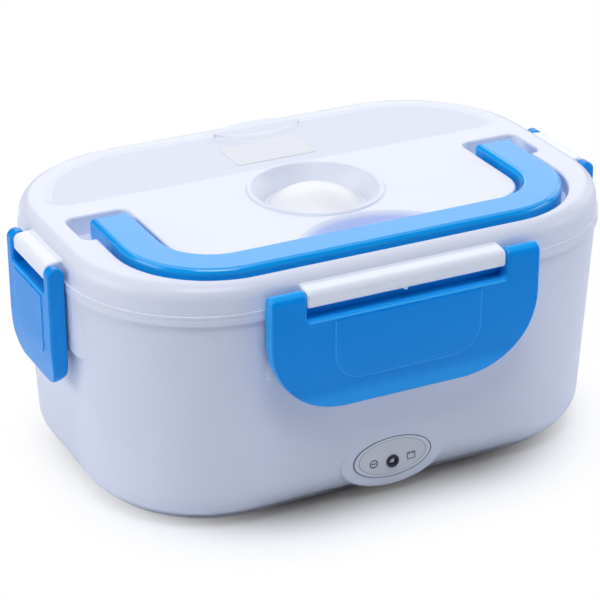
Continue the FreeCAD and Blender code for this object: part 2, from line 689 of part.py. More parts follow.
def inner_wires():
    """Mains wires from the inlet to the fuse and thermostat, and a pair to the lamp board."""
    wires = []
    fuse_z = TUB_FLOOR_Z - FUSE_RADIUS
    for x_pin, x_end, y_end, z_end in (
            (-PIN_PITCH / 2, FUSE_X, FUSE_LENGTH / 2, fuse_z),
            (PIN_PITCH / 2, THERMOSTAT_X, THERMOSTAT_RADIUS, TUB_FLOOR_Z - THERMOSTAT_HEIGHT / 2)):
        points = [Vector(x_pin, TAG_Y, BOSS_Z), Vector(x_pin, TAG_Y - WIRE_PIN_LEAD, BOSS_Z),
                  Vector(x_end / 2, y_end + WIRE_LEAD + WIRE_DROP, WIRE_Z),
                  Vector(x_end, y_end + WIRE_LEAD, z_end), Vector(x_end, y_end, z_end)]
        wires.append(bent_wire(points, WIRE_RADIUS))
    for side in (-1, 1):
        x = side * HEATER_LENGTH / 2
        heater_z = TUB_FLOOR_Z - HEATER_HEIGHT / 2
        x_board = side * BOARD_WIRE_X
        y_board = BOARD_Y + BOARD_THICKNESS
        points = [Vector(x, WIRE_HEATER_Y, heater_z),
                  Vector(x + side * WIRE_HEATER_LEAD, WIRE_HEATER_Y, heater_z),
                  Vector(x, WIRE_HEATER_Y - WIRE_HEATER_DROP, WIRE_Z),
                  Vector(x_board, y_board + WIRE_LEAD, LED_Z), Vector(x_board, y_board, LED_Z)]
        wires.append(bent_wire(points, WIRE_RADIUS))
    return Part.makeCompound(wires)


# Food containers

CONTAINER_RIM_Z = SEAT_Z + BODY_GAP
CONTAINER_TOP = CONTAINER_RIM_Z + CONTAINER_RIM
CONTAINER_BOTTOM = TUB_FLOOR_Z + PLATE_THICKNESS + BODY_GAP
SHELF_Z = CONTAINER_TOP - SHELF_DROP


def tub_inset(z):
    """Inset of the tub's drafted inner wall at a height."""
    return MOUTH_INSET + TUB_DRAFT * (PARTING_Z - z) / (PARTING_Z - TUB_FLOOR_Z)


COLLAR_INSET = tub_inset(CONTAINER_TOP) + CONTAINER_GAP
MOUTH_EDGE = COLLAR_INSET + CONTAINER_WALL


def container_inset(z):
    """Inset of the large container's drafted wall below its shelf."""
    return tub_inset(z) + CONTAINER_GAP + SHELF_WIDTH


def food_container():
    rim = plan_prism(SEAT_INSET + SLIDE_GAP, CONTAINER_RIM_Z, CONTAINER_TOP)
    rim = rim.makeFillet(CONTAINER_RIM / 3, edges_at(rim, CONTAINER_TOP))
    shelf_bottom = SHELF_Z - CONTAINER_WALL
    collar = plan_prism(COLLAR_INSET, shelf_bottom, CONTAINER_TOP)
    body = tapered(container_inset(CONTAINER_BOTTOM), CONTAINER_BOTTOM, container_inset(SHELF_Z), SHELF_Z)
    body = body.makeFillet(CONTAINER_BOTTOM_RADIUS, edges_at(body, CONTAINER_BOTTOM))
    floor = CONTAINER_BOTTOM + CONTAINER_WALL
    cavity = tapered(container_inset(floor) + CONTAINER_WALL, floor,
                     container_inset(SHELF_Z) + CONTAINER_WALL, SHELF_Z)
    cavity = cavity.makeFillet(CONTAINER_BOTTOM_RADIUS - CONTAINER_WALL, edges_at(cavity, floor))
    mouth = plan_prism(MOUTH_EDGE, SHELF_Z, CONTAINER_TOP)
    return joined([rim, collar, body]).cut([cavity, mouth])


def right_part(inset, left_x, z0, z1, corner):
    """The part of a wide-cornered block right of left_x, with its two left corners rounded."""
    wire = rounded_wire(HALF_X - SMALL_FROM_END - inset, HALF_Y - inset, SMALL_RADIUS - inset, z0)
    block = prism(wire, z1 - z0)
    block = block.common(box_between((left_x, -DEPTH, z0 - BEYOND), (LENGTH, DEPTH, z1 + BEYOND)))
    left = [e for e in upright_edges(block) if abs(e.BoundBox.XMin - left_x) < TOUCH]
    return block.makeFillet(corner, left)


def small_container():
    rim_z = SHELF_Z + BODY_GAP
    inset = MOUTH_EDGE + SMALL_GAP
    rim = right_part(inset, SMALL_LEFT_X, rim_z, rim_z + SMALL_RIM, SMALL_CORNER)
    wall_out = inset + SMALL_LIP
    outer = right_part(wall_out, SMALL_LEFT_X + SMALL_LIP, rim_z - SMALL_DEPTH, rim_z, SMALL_CORNER)
    outer = outer.makeFillet(SMALL_CORNER / 2, edges_at(outer, rim_z - SMALL_DEPTH))
    inner = right_part(wall_out + SMALL_WALL, SMALL_LEFT_X + SMALL_LIP + SMALL_WALL,
                       rim_z - SMALL_DEPTH + SMALL_WALL, rim_z + SMALL_RIM, SMALL_CORNER - SMALL_WALL)
    inner = inner.makeFillet(SMALL_CORNER / 2 - SMALL_WALL, edges_at(inner, rim_z - SMALL_DEPTH + SMALL_WALL))
    return rim.fuse(outer).removeSplitter().cut(inner)


def small_lid():
    z = SHELF_Z + BODY_GAP + SMALL_RIM + BODY_GAP
    inset = MOUTH_EDGE + SMALL_GAP
    plate = right_part(inset, SMALL_LEFT_X, z, z + SMALL_LID_THICKNESS, SMALL_CORNER)
    dish = right_part(inset + SMALL_LIP, SMALL_LEFT_X + SMALL_LIP, z + SMALL_LID_THICKNESS / 2,
                      z + SMALL_LID_THICKNESS, SMALL_CORNER)
    return plate.cut(dish)


# Lid

def front_arch(half_x, front_y, radius, back_y, z0, z1):
    """Block with a straight back, straight sides and rounded front corners."""
    left, right = -half_x, half_x
    turn = front_y + radius
    slant = radius * (1 - math.sqrt(0.5))
    edges = [
        Part.makeLine(Vector(right, back_y, z0), Vector(left, back_y, z0)),
        Part.makeLine(Vector(left, back_y, z0), Vector(left, turn, z0)),
        Part.Arc(Vector(left, turn, z0), Vector(left + slant, front_y + slant, z0),
                 Vector(left + radius, front_y, z0)).toShape(),
        Part.makeLine(Vector(left + radius, front_y, z0), Vector(right - radius, front_y, z0)),
        Part.Arc(Vector(right - radius, front_y, z0), Vector(right - slant, front_y + slant, z0),
                 Vector(right, turn, z0)).toShape(),
        Part.makeLine(Vector(right, turn, z0), Vector(right, back_y, z0)),
    ]
    return prism(Part.Wire(edges), z1 - z0)


def u_band(grow, back_y, z0, z1):
    """U-shaped band along the handle, wider than it by grow on both sides."""
    outer = front_arch(HANDLE_HALF + grow, HANDLE_FRONT_Y - grow, HANDLE_CORNER + grow, back_y, z0, z1)
    width = HANDLE_WIDTH + grow
    inner = front_arch(HANDLE_HALF - width, HANDLE_FRONT_Y + width, HANDLE_CORNER - width, back_y, z0, z1)
    return outer.cut(inner)


HANDLE_BOTTOM = LID_TOP + HANDLE_PROUD - HANDLE_THICKNESS
TROUGH_FLOOR = HANDLE_BOTTOM - TROUGH_FLOOR_GAP
POCKET_INNER_X = HANDLE_HALF - HANDLE_WIDTH - TROUGH_GAP
POCKET_OUTER_X = HANDLE_HALF + POCKET_OUTWARD
PIVOT_Y = HANDLE_END_Y - PIVOT_FROM_END
ABOVE = 6.0             # how far a cutting tool reaches past the lid's top


def trough(grow):
    return u_band(TROUGH_GAP + grow, 0.0, TROUGH_FLOOR - grow, LID_TOP + ABOVE)


def pockets(grow):
    """Wells at the handle's ends, wide enough outward to spring its arms off their pegs."""
    wells = []
    half_x = (POCKET_OUTER_X - POCKET_INNER_X) / 2 + grow
    half_y = (POCKET_BACK_Y - POCKET_FRONT_Y) / 2 + grow
    middle_x = (POCKET_OUTER_X + POCKET_INNER_X) / 2
    middle_y = (POCKET_BACK_Y + POCKET_FRONT_Y) / 2
    for side in (-1, 1):
        wire = rounded_wire(half_x, half_y, POCKET_CORNER + grow, POCKET_FLOOR_Z - grow,
                            (side * middle_x, middle_y))
        wells.append(prism(wire, LID_TOP + ABOVE - POCKET_FLOOR_Z + grow))
    return wells


def bay_block(inset, front_y, corner, z0, z1):
    """Block behind front_y that follows the lid's outline, with rounded front corners."""
    block = plan_prism(inset, z0, z1)
    block = block.common(box_between((-LENGTH, front_y, z0 - BEYOND), (LENGTH, DEPTH, z1 + BEYOND)))
    front = [e for e in upright_edges(block) if abs(e.BoundBox.YMin - front_y) < TOUCH]
    return block.makeFillet(corner, front)


WINDOW_SEAT_Z = LID_TOP + WINDOW_PROUD - WINDOW_THICKNESS - BODY_GAP


def bay(grow):
    upper = bay_block(BAY_INSET - grow, BAY_FRONT_Y - grow, BAY_CORNER, WINDOW_SEAT_Z - grow, LID_TOP + ABOVE)
    lower = bay_block(BAY_INSET + BAY_LEDGE - grow, BAY_FRONT_Y + BAY_LEDGE - grow, BAY_CORNER - BAY_LEDGE,
                      BAY_FLOOR_Z - grow, LID_TOP + ABOVE)
    return [upper, lower]


def vent_well(grow):
    """Sloping round well, revolved about the vent's axis."""
    top_radius = RING_RADIUS - RING_WIDTH + grow
    top = LID_TOP + ABOVE
    floor = WELL_FLOOR_Z - grow
    points = [(0, floor), (WELL_FLOOR_RADIUS + grow, floor), (top_radius, LID_TOP), (top_radius, top),
              (0, top)]
    corners = [Vector(r, VENT_Y, z) for r, z in points]
    return Part.Face(Part.makePolygon(corners + corners[:1])).revolve(Vector(0, VENT_Y, 0), UP, 360)


def scoop(grow):
    """Shallow finger scoop behind the handle, a cap of a large ball."""
    height = math.sqrt(SCOOP_RADIUS ** 2 - SCOOP_HALF_WIDTH ** 2)
    ball = Part.makeSphere(SCOOP_RADIUS + grow, Vector(0, SCOOP_CENTRE_Y, LID_TOP + height))
    room = box_between((-HALF_X, HANDLE_FRONT_Y + HANDLE_WIDTH / 2, LID_TOP - LID_HEIGHT),
                       (HALF_X, 0, LID_TOP + ABOVE))
    return ball.common(room)


def vent_ring():
    """Rounded raised ring round the vent well."""
    middle = RING_RADIUS - RING_WIDTH / 2
    half = RING_WIDTH / 2
    low = LID_TOP - LID_WALL / 2
    high = LID_TOP + RING_PROUD
    edges = [
        Part.makeLine(Vector(middle - half, VENT_Y, low), Vector(middle + half, VENT_Y, low)),
        Part.makeLine(Vector(middle + half, VENT_Y, low), Vector(middle + half, VENT_Y, LID_TOP)),
        Part.Arc(Vector(middle + half, VENT_Y, LID_TOP), Vector(middle, VENT_Y, high),
                 Vector(middle - half, VENT_Y, LID_TOP)).toShape(),
        Part.makeLine(Vector(middle - half, VENT_Y, LID_TOP), Vector(middle - half, VENT_Y, low)),
    ]
    return Part.Face(Part.Wire(edges)).revolve(Vector(0, VENT_Y, 0), UP, 360)


def knuckle_bar(side):
    """Bar on the lid's side that the latch hangs on, with a bore in each end for its pegs."""
    half = LATCHES[side]["bar"]
    section = [(-BAR_ROOT, BAR_BOTTOM_Z), (BAR_OUT, BAR_BOTTOM_Z), (BAR_OUT, BAR_TOP_Z - BAR_SLOPE),
               (-BAR_ROOT, BAR_TOP_Z)]
    bar = extrude_profile(section, -half, half)
    upper = [e for e in edges_at(bar, BAR_TOP_Z - BAR_SLOPE) if e.BoundBox.XLength > half]
    bar = bar.makeFillet(BAR_ROUND, upper)
    lower = [e for e in edges_at(bar, BAR_BOTTOM_Z) if e.BoundBox.YMax < -BAR_OUT + TOUCH]
    bar = bar.makeFillet(BAR_ROUND / 2, lower)
    ends = [e for e in bar.Edges if e.BoundBox.XLength < TOUCH and abs(abs(e.BoundBox.XMin) - half) < TOUCH
            and e.BoundBox.YMin < BAR_ROOT - TOUCH]
    bar = bar.makeFillet(BAR_END_ROUND, ends)
    rib = box_between((-BAR_RIB_HALF_WIDTH, -BAR_OUT + BAR_RIB_SETBACK, BAR_BOTTOM_Z - BAR_RIB_HEIGHT),
                      (BAR_RIB_HALF_WIDTH, -LATCH_BACK, BAR_BOTTOM_Z))
    bar = bar.fuse(rib)
    depth = PEG_LENGTH + BODY_GAP
    bores = [rod_x(PEG_RADIUS + BORE_GAP, -half, -half + depth, -AXIS_OUT, AXIS_Z),
             rod_x(PEG_RADIUS + BORE_GAP, half - depth, half, -AXIS_OUT, AXIS_Z)]
    return on_side(bar.cut(bores), side)


INNER_COVER_TOP = POCKET_FLOOR_Z - RECESS_WALL
INNER_COVER_BOTTOM = INNER_COVER_TOP - INNER_COVER_THICKNESS
STEM_HOLE = STEM_RADIUS + BODY_GAP


def handle_recess():
    """Trough and wells as one tool, rounded where they meet."""
    recess = joined([trough(0)] + pockets(0))
    corner_x = HANDLE_HALF + TROUGH_GAP
    meeting = [e for e in upright_edges(recess) if abs(abs(e.BoundBox.XMin) - corner_x) < TOUCH
               and abs(e.BoundBox.YMin - POCKET_FRONT_Y) < TOUCH]
    return recess.makeFillet(RECESS_ROUND, meeting)


def soft_recess(block, tools, radius):
    """Cut a recess into the lid's top and round the new edges there."""
    old = [edge.CenterOfMass for edge in edges_at(block, LID_TOP)]
    block = block.cut(tools)
    new = []
    for edge in edges_at(block, LID_TOP):
        if min(edge.CenterOfMass.distanceToPoint(point) for point in old) > TOUCH:
            new.append(edge)
    return block.makeFillet(radius, new)


def lid_shell():
    body = tapered(LIP_STEP, LID_BOTTOM, LIP_STEP + LID_DRAFT, LID_TOP)
    body = body.makeFillet(LID_EDGE_RADIUS, edges_at(body, LID_TOP))
    body = soft_recess(body, handle_recess(), RECESS_ROUND)
    body = soft_recess(body, bay(0), BAY_ROUND)
    lip = plan_prism(0, LID_BOTTOM, LID_BOTTOM + LIP_HEIGHT)
    body = joined([body, lip, vent_ring()] + [knuckle_bar(side) for side in LATCHES])
    ceiling = LID_TOP - LID_WALL
    hollow = tapered(LIP_STEP + LID_WALL, LID_BOTTOM, LIP_STEP + LID_DRAFT + LID_WALL, ceiling)
    hollow = hollow.makeFillet(LID_EDGE_RADIUS - LID_WALL, edges_at(hollow, ceiling))
    wall = RECESS_WALL
    chimney = rod_z(STEM_HOLE + wall, INNER_COVER_TOP, WELL_FLOOR_Z, 0, VENT_Y)
    hollow = hollow.cut([trough(wall), vent_well(wall), scoop(wall), chimney] + bay(wall) + pockets(wall))
    peg_bores = []
    for side in (-1, 1):
        near = side * (POCKET_INNER_X + BEYOND)
        far = side * (POCKET_INNER_X - wall - BEYOND)
        peg_bores.append(rod_x(PIVOT_RADIUS + BORE_GAP, min(near, far), max(near, far), PIVOT_Y, PIVOT_Z))
    stem_hole = rod_z(STEM_HOLE, INNER_COVER_TOP, WELL_FLOOR_Z, 0, VENT_Y)
    return body.cut([hollow, vent_well(0), scoop(0), stem_hole] + peg_bores).removeSplitter()


def lid_inner_cover():
    inset = LIP_STEP + LID_WALL + LID_DRAFT * (INNER_COVER_TOP - LID_BOTTOM) / (LID_TOP - LID_BOTTOM)
    plate = plan_prism(inset + SPIGOT_GAP, INNER_COVER_BOTTOM, INNER_COVER_TOP)
    return plate.cut(rod_z(STEM_HOLE, INNER_COVER_BOTTOM, INNER_COVER_TOP, 0, VENT_Y))


def lid_gasket():
    outer = SEAT_INSET + SLIDE_GAP + GASKET_SETBACK
    low = INNER_COVER_BOTTOM - GASKET_HEIGHT
    ring = plan_prism(outer, low, INNER_COVER_BOTTOM)
    ring = ring.cut(plan_prism(outer + GASKET_WIDTH, low, INNER_COVER_BOTTOM))
    return ring.makeFillet(GASKET_WIDTH / 4, edges_at(ring, low))


def handle():
    band = front_arch(HANDLE_HALF, HANDLE_FRONT_Y, HANDLE_CORNER, HANDLE_END_Y, HANDLE_BOTTOM,
                      HANDLE_BOTTOM + HANDLE_THICKNESS)
    inner = front_arch(HANDLE_HALF - HANDLE_WIDTH, HANDLE_FRONT_Y + HANDLE_WIDTH,
                       HANDLE_CORNER - HANDLE_WIDTH, HANDLE_END_Y, HANDLE_BOTTOM,
                       HANDLE_BOTTOM + HANDLE_THICKNESS)
    band = band.cut(inner)
    ends = [e for e in edges_at(band, HANDLE_BOTTOM) if e.BoundBox.YMin > HANDLE_END_Y - TOUCH]
    band = band.makeFillet(HANDLE_END_ROUND, ends)
    band = band.makeFillet(HANDLE_ROUND, edges_at(band, HANDLE_BOTTOM + HANDLE_THICKNESS))
    pegs = []
    inner_x = HANDLE_HALF - HANDLE_WIDTH
    tip_x = POCKET_INNER_X - RECESS_WALL
    for side in (-1, 1):
        pegs.append(rod_x(PIVOT_RADIUS, min(side * inner_x, side * tip_x), max(side * inner_x, side * tip_x),
                          PIVOT_Y, PIVOT_Z))
    return joined([band] + pegs)


TAB_Y = HALF_Y - BAY_INSET - SLIDE_GAP - TAB_HALF_DEPTH + TAB_FROM_EDGE


def spoon_window():
    """Translucent cover of the spoon compartment, with a locating skirt and a finger tab."""
    low = WINDOW_SEAT_Z + BODY_GAP
    inset = BAY_INSET + SLIDE_GAP
    plate = bay_block(inset, BAY_FRONT_Y + SLIDE_GAP, BAY_CORNER - SLIDE_GAP, low, low + WINDOW_THICKNESS)
    skirt_inset = BAY_LEDGE + BODY_GAP
    skirt = bay_block(inset + skirt_inset, BAY_FRONT_Y + SLIDE_GAP + skirt_inset, BAY_CORNER - BAY_LEDGE,
                      low - WINDOW_SKIRT, low)
    deeper = skirt_inset + WINDOW_SKIRT_WALL
    skirt = skirt.cut(bay_block(inset + deeper, BAY_FRONT_Y + SLIDE_GAP + deeper,
                                BAY_CORNER - BAY_LEDGE - WINDOW_SKIRT_WALL, low - WINDOW_SKIRT, low))
    oval = Part.Face(Part.Wire(Part.Ellipse(Vector(0, 0, 0), TAB_HALF_WIDTH, TAB_HALF_DEPTH).toShape()))
    oval.translate(Vector(TAB_X, TAB_Y, LID_TOP + BODY_GAP))
    tab = oval.extrude(Vector(0, 0, TAB_HEIGHT))
    tab = tab.makeFillet(TAB_HEIGHT / 2, edges_at(tab, LID_TOP + BODY_GAP + TAB_HEIGHT))
    root = oval.extrude(Vector(0, 0, -(BODY_GAP + WINDOW_THICKNESS / 2)))
    root = root.common(plan_prism(inset, 0, LID_TOP + ABOVE))
    return joined([plate, skirt, tab, root])


def blank_label():
    low = LID_TOP + WINDOW_PROUD
    return box_between((-LABEL_WIDTH / 2, BAY_FRONT_Y + LABEL_SETBACK, low),
                       (LABEL_WIDTH / 2, TAB_Y - TAB_HALF_DEPTH - LABEL_TO_TAB, low + LABEL_THICKNESS))


BAY_MIDDLE_Y = (BAY_FRONT_Y + HALF_Y - BAY_INSET) / 2


def spoon():
    """Table spoon that lies in the compartment, bowl to the left."""
    bowl_x = -SPOON_LENGTH / 2 + BOWL_HALF_LENGTH
    rest = BAY_FLOOR_Z + BODY_GAP
    rim = rest + BOWL_DEPTH

    def egg(shrink):
        ball = Part.makeSphere(1.0)
        matrix = FreeCAD.Matrix()
        matrix.scale(BOWL_HALF_LENGTH - shrink, BOWL_HALF_WIDTH - shrink, BOWL_DEPTH - shrink)
        half = ball.transformGeometry(matrix)
        half.translate(Vector(bowl_x, BAY_MIDDLE_Y, rim))
        return half

    below = box_between((bowl_x - LENGTH, 0, rest - BEYOND), (bowl_x + LENGTH, DEPTH, rim))
    bowl = egg(0).common(below).cut(egg(SPOON_THICKNESS))
    neck_x = bowl_x + BOWL_HALF_LENGTH - SPOON_THICKNESS
    end_x = SPOON_LENGTH / 2
    half_neck = SPOON_NECK_WIDTH / 2
    half_end = SPOON_END_WIDTH / 2
    outline = [Vector(neck_x, BAY_MIDDLE_Y - half_neck, rim - SPOON_THICKNESS),
               Vector(end_x, BAY_MIDDLE_Y - half_end, rim - SPOON_THICKNESS),
               Vector(end_x, BAY_MIDDLE_Y + half_end, rim - SPOON_THICKNESS),
               Vector(neck_x, BAY_MIDDLE_Y + half_neck, rim - SPOON_THICKNESS)]
    strip = Part.Face(Part.makePolygon(outline + outline[:1])).extrude(Vector(0, 0, SPOON_THICKNESS))
    ends = [e for e in upright_edges(strip) if e.BoundBox.XMin > end_x - TOUCH]
    strip = strip.makeFillet(SPOON_END_ROUND, ends)
    return joined([bowl, strip])


def vent_plug():
    """Silicone dome with a hollow underside and a stem that plugs the steam hole."""
    low = WELL_FLOOR_Z + BODY_GAP
    ball = (DOME_RADIUS ** 2 + DOME_HEIGHT ** 2) / (2 * DOME_HEIGHT)
    centre_z = low + DOME_HEIGHT - ball
    skin = Part.makeSphere(ball, Vector(0, VENT_Y, centre_z))
    under = Part.makeSphere(ball - DOME_WALL, Vector(0, VENT_Y, centre_z))
    room = rod_z(DOME_RADIUS + BEYOND, low, low + DOME_HEIGHT + BEYOND, 0, VENT_Y)
    dome = skin.cut(under).common(room)
    stem = rod_z(STEM_RADIUS, low - STEM_LENGTH, low + DOME_HEIGHT - DOME_WALL / 2, 0, VENT_Y)
    return joined([dome, stem])


# Latches

def upright_arch(half_x, low_z, radius, high_z, out0, out1):
    """Block seen from the front as straight sides, a flat top and rounded lower corners."""
    block = front_arch(half_x, low_z, radius, high_z, out0, out1)
    block.rotate(Vector(0, 0, 0), Vector(1, 0, 0), 90)
    return block


def latch_face(latch, inset):
    """Front outline of a latch, with a notch for the knuckle bar."""
    high = AXIS_Z + EAR_RADIUS + BEYOND
    block = upright_arch(latch["half"] - inset, LATCH_BOTTOM_Z + inset, latch["corner"] - inset, high,
                         -LATCH_WALL, LATCH_OUT + LATCH_WALL)
    inner = latch["bar"] + NOTCH_GAP + inset
    notch = upright_arch(inner, NOTCH_Z - inset, NOTCH_ROUND, high, -LATCH_WALL, LATCH_OUT + LATCH_WALL)
    return block.cut(notch)


def latch_profile(latch, inset):
    """Side outline of a latch: a full round about the hinge, a straight face and a curled lower end."""
    half = latch["half"] + BEYOND
    back = LATCH_BACK if inset == 0 else -BEYOND
    front = LATCH_OUT - inset
    radius = EAR_RADIUS - inset
    low = LATCH_BOTTOM_Z + inset
    curled = front - LATCH_CURL
    middle_z = (LATCH_CURL_Z + low) / 2
    bulge = front - LATCH_CURL_SAG
    heel = LATCH_HEEL - inset
    slant = heel * (1 - math.sqrt(0.5))
    top = Vector(-half, -AXIS_OUT, AXIS_Z + radius)
    crown = AXIS_OUT + radius * math.sqrt(0.5)
    edges = [
        Part.Arc(top, Vector(-half, -crown, AXIS_Z + radius * math.sqrt(0.5)),
                 Vector(-half, -front, AXIS_Z)).toShape(),
        Part.makeLine(Vector(-half, -front, AXIS_Z), Vector(-half, -front, LATCH_CURL_Z)),
        Part.Arc(Vector(-half, -front, LATCH_CURL_Z), Vector(-half, -bulge, middle_z),
                 Vector(-half, -curled, low)).toShape(),
    ]
    if inset == 0:
        edges += [
            Part.makeLine(Vector(-half, -curled, low), Vector(-half, -curled + LATCH_TOE, low)),
            Part.makeLine(Vector(-half, -curled + LATCH_TOE, low), Vector(-half, -back, low + heel)),
            Part.makeLine(Vector(-half, -back, low + heel), Vector(-half, -back, AXIS_Z)),
            Part.Arc(Vector(-half, -back, AXIS_Z),
                     Vector(-half, -(AXIS_OUT - radius * math.sqrt(0.5)), AXIS_Z + radius * math.sqrt(0.5)),
                     top).toShape(),
        ]
    else:
        edges += [
            Part.makeLine(Vector(-half, -curled, low), Vector(-half, -back, low)),
            Part.makeLine(Vector(-half, -back, low), Vector(-half, -back, AXIS_Z + radius)),
            Part.makeLine(Vector(-half, -back, AXIS_Z + radius), top),
        ]
    return Part.Face(Part.Wire(edges)).extrude(Vector(2 * half, 0, 0))


def face_outline(shell):
    """Edges round the outward faces of a latch, up to the crown of its hinge."""
    edges = []
    for face in shell.Faces:
        low_u, high_u, low_v, high_v = face.ParameterRange
        if face.normalAt((low_u + high_u) / 2, (low_v + high_v) / 2).y < -FACING_LEAST:
            edges += face.Edges
    once = [e for e in edges if sum(e.isSame(other) for other in edges) == 1]
    return [e for e in once if e.BoundBox.ZMin < AXIS_Z + EAR_RADIUS - TOUCH]


def latch_panel(latch):
    """Slightly raised panel on the latch's face."""
    half = latch["half"] - latch["border"]
    low = LATCH_BOTTOM_Z + PANEL_BOTTOM_RISE
    panel = upright_arch(half, low, latch["panel_corner"], NOTCH_Z - PANEL_TOP_DROP, LATCH_OUT - LATCH_WALL,
                         LATCH_OUT + LATCH_WALL)
    raised = latch_profile(latch, 0)
    raised.translate(Vector(0, -PANEL_RAISE, 0))
    return panel.common(raised)


def latch(side):
    size = LATCHES[side]
    shell = latch_face(size, 0).common(latch_profile(size, 0))
    shell = shell.makeFillet(LATCH_ROUND, face_outline(shell))
    shell = shell.cut(latch_face(size, LATCH_WALL).common(latch_profile(size, LATCH_WALL)))
    hook_top = PAD_BOTTOM_Z - HOOK_DROP
    hook_half = size["bar"] - HOOK_SHORTER
    hook = box_between((-hook_half, -LATCH_OUT + LATCH_WALL / 2, hook_top - HOOK_THICKNESS),
                       (hook_half, -BODY_GAP, hook_top))
    pegs = []
    for sign in (-1, 1):
        ends = sorted((sign * (size["bar"] + NOTCH_GAP), sign * (size["bar"] - PEG_LENGTH)))
        pegs.append(rod_x(PEG_RADIUS, ends[0], ends[1], -AXIS_OUT, AXIS_Z))
    return on_side(joined([shell, latch_panel(size), hook] + pegs), side)


PIECES = {
    "base_housing": base_housing,
    "base_cover": base_cover,
    "base_feet": feet,
    "base_screws": base_screws,
    "tub_rim": tub_rim,
    "inner_tub": inner_tub,
    "screw_posts": screw_posts,
    "heating_plate": heating_plate,
    "ptc_heater": ptc_heater,
    "heater_strap": heater_strap,
    "strap_screws": strap_screws,
    "thermostat": thermostat,
    "thermal_fuse": thermal_fuse,
    "inner_wires": inner_wires,
    "power_inlet": power_inlet,
    "inlet_pins": inlet_pins,
    "indicator_panel": indicator_panel,
    "led_bezel": led_bezel,
    "led_lens": led_lens,
    "led_board": led_board,
    "food_container": food_container,
    "small_container": small_container,
    "small_container_lid": small_lid,
    "lid_shell": lid_shell,
    "lid_inner_cover": lid_inner_cover,
    "lid_gasket": lid_gasket,
    "carry_handle": handle,
    "spoon_window": spoon_window,
    "blank_label": blank_label,
    "spoon": spoon,
    "vent_plug": vent_plug,
}
for side_name in LATCHES:
    PIECES["latch_" + side_name] = lambda name=side_name: latch(name)

os.makedirs("parts", exist_ok=True)
for node, build in PIECES.items():
    shape = build()
    print(node, len(shape.Solids), "solids", round(shape.Volume, 1), "mm3 valid", shape.isValid())
    shape.exportStep("parts/" + node + ".step")
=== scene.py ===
import math

import bpy
from mathutils import Matrix, Vector


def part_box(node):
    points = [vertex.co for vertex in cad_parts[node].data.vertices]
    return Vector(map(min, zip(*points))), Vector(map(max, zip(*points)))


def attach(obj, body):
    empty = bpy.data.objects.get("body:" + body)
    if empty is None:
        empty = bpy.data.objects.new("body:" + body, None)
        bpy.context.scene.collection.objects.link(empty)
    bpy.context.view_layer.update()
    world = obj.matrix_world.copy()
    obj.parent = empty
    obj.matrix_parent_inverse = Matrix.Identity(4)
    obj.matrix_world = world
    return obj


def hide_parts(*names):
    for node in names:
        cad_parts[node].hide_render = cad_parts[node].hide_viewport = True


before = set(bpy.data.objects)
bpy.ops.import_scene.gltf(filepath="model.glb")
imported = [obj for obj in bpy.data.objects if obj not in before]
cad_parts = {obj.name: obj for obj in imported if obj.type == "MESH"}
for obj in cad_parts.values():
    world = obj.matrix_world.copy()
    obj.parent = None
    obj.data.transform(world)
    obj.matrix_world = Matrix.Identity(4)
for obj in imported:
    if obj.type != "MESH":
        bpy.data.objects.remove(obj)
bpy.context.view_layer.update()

# View: a long portrait lens a metre from the box, a little left of its front and above its lid.
# The roll levels the long edges of the lid.
AIM = Vector((-0.00355, 0.00175, 0.05373))
VIEW_DISTANCE = 0.9692
VIEW_AZIMUTH = math.radians(-26.38)
VIEW_ELEVATION = math.radians(25.56)
VIEW_ROLL = math.radians(-0.14)
SENSOR = 36.0
LENS = 140.2
CLIP_END = 20.0


def linked(name, data):
    """A new object in the scene that shows a mesh, curve, lamp or camera."""
    thing = bpy.data.objects.new(name, data)
    bpy.context.scene.collection.objects.link(thing)
    return thing


lens = bpy.data.cameras.new("view")
lens.sensor_width = SENSOR
lens.sensor_height = SENSOR
lens.lens = LENS
lens.clip_end = CLIP_END
camera = linked("view", lens)
toward = Vector((-math.sin(VIEW_AZIMUTH) * math.cos(VIEW_ELEVATION),
                 math.cos(VIEW_AZIMUTH) * math.cos(VIEW_ELEVATION),
                 -math.sin(VIEW_ELEVATION)))
camera.location = AIM - toward * VIEW_DISTANCE
camera.rotation_mode = "QUATERNION"
roll = Matrix.Rotation(VIEW_ROLL, 3, "Z").to_quaternion()
camera.rotation_quaternion = toward.to_track_quat("-Z", "Y") @ roll
bpy.context.scene.camera = camera
bpy.context.scene.view_settings.view_transform = "Standard"

# Light: six softboxes stand round the box, and the two in front are a little cool. The room beyond them
# is a dim blue, but shows pale to the camera and through clear plastic.
WHITE = (1.0, 1.0, 1.0)
COOL = (0.88, 0.92, 1.0)
SOFTBOXES = (           # name, place, size, power and colour
    ("overhead", (-0.1, 0.65, 1.35), (1.3, 1.1), 3.2, WHITE),
    ("left_fill", (-1.5, 0.35, 0.7), (1.0, 1.0), 10.3, WHITE),
    ("right_fill", (1.5, 0.5, 0.6), (0.9, 0.9), 4.3, WHITE),
    ("right_front", (1.4, -0.7, 0.5), (0.9, 0.6), 5.6, COOL),
    ("front_top", (-0.2, -0.55, 1.6), (0.9, 0.6), 16.0, COOL),
    ("back_box", (0.6, 1.25, 0.75), (1.4, 1.0), 8.2, WHITE))
ROOM_BLUE = (0.35, 0.50, 1.0)
ROOM_LEVEL = 0.03
PALE_ROOM = (0.8, 0.8, 0.8)


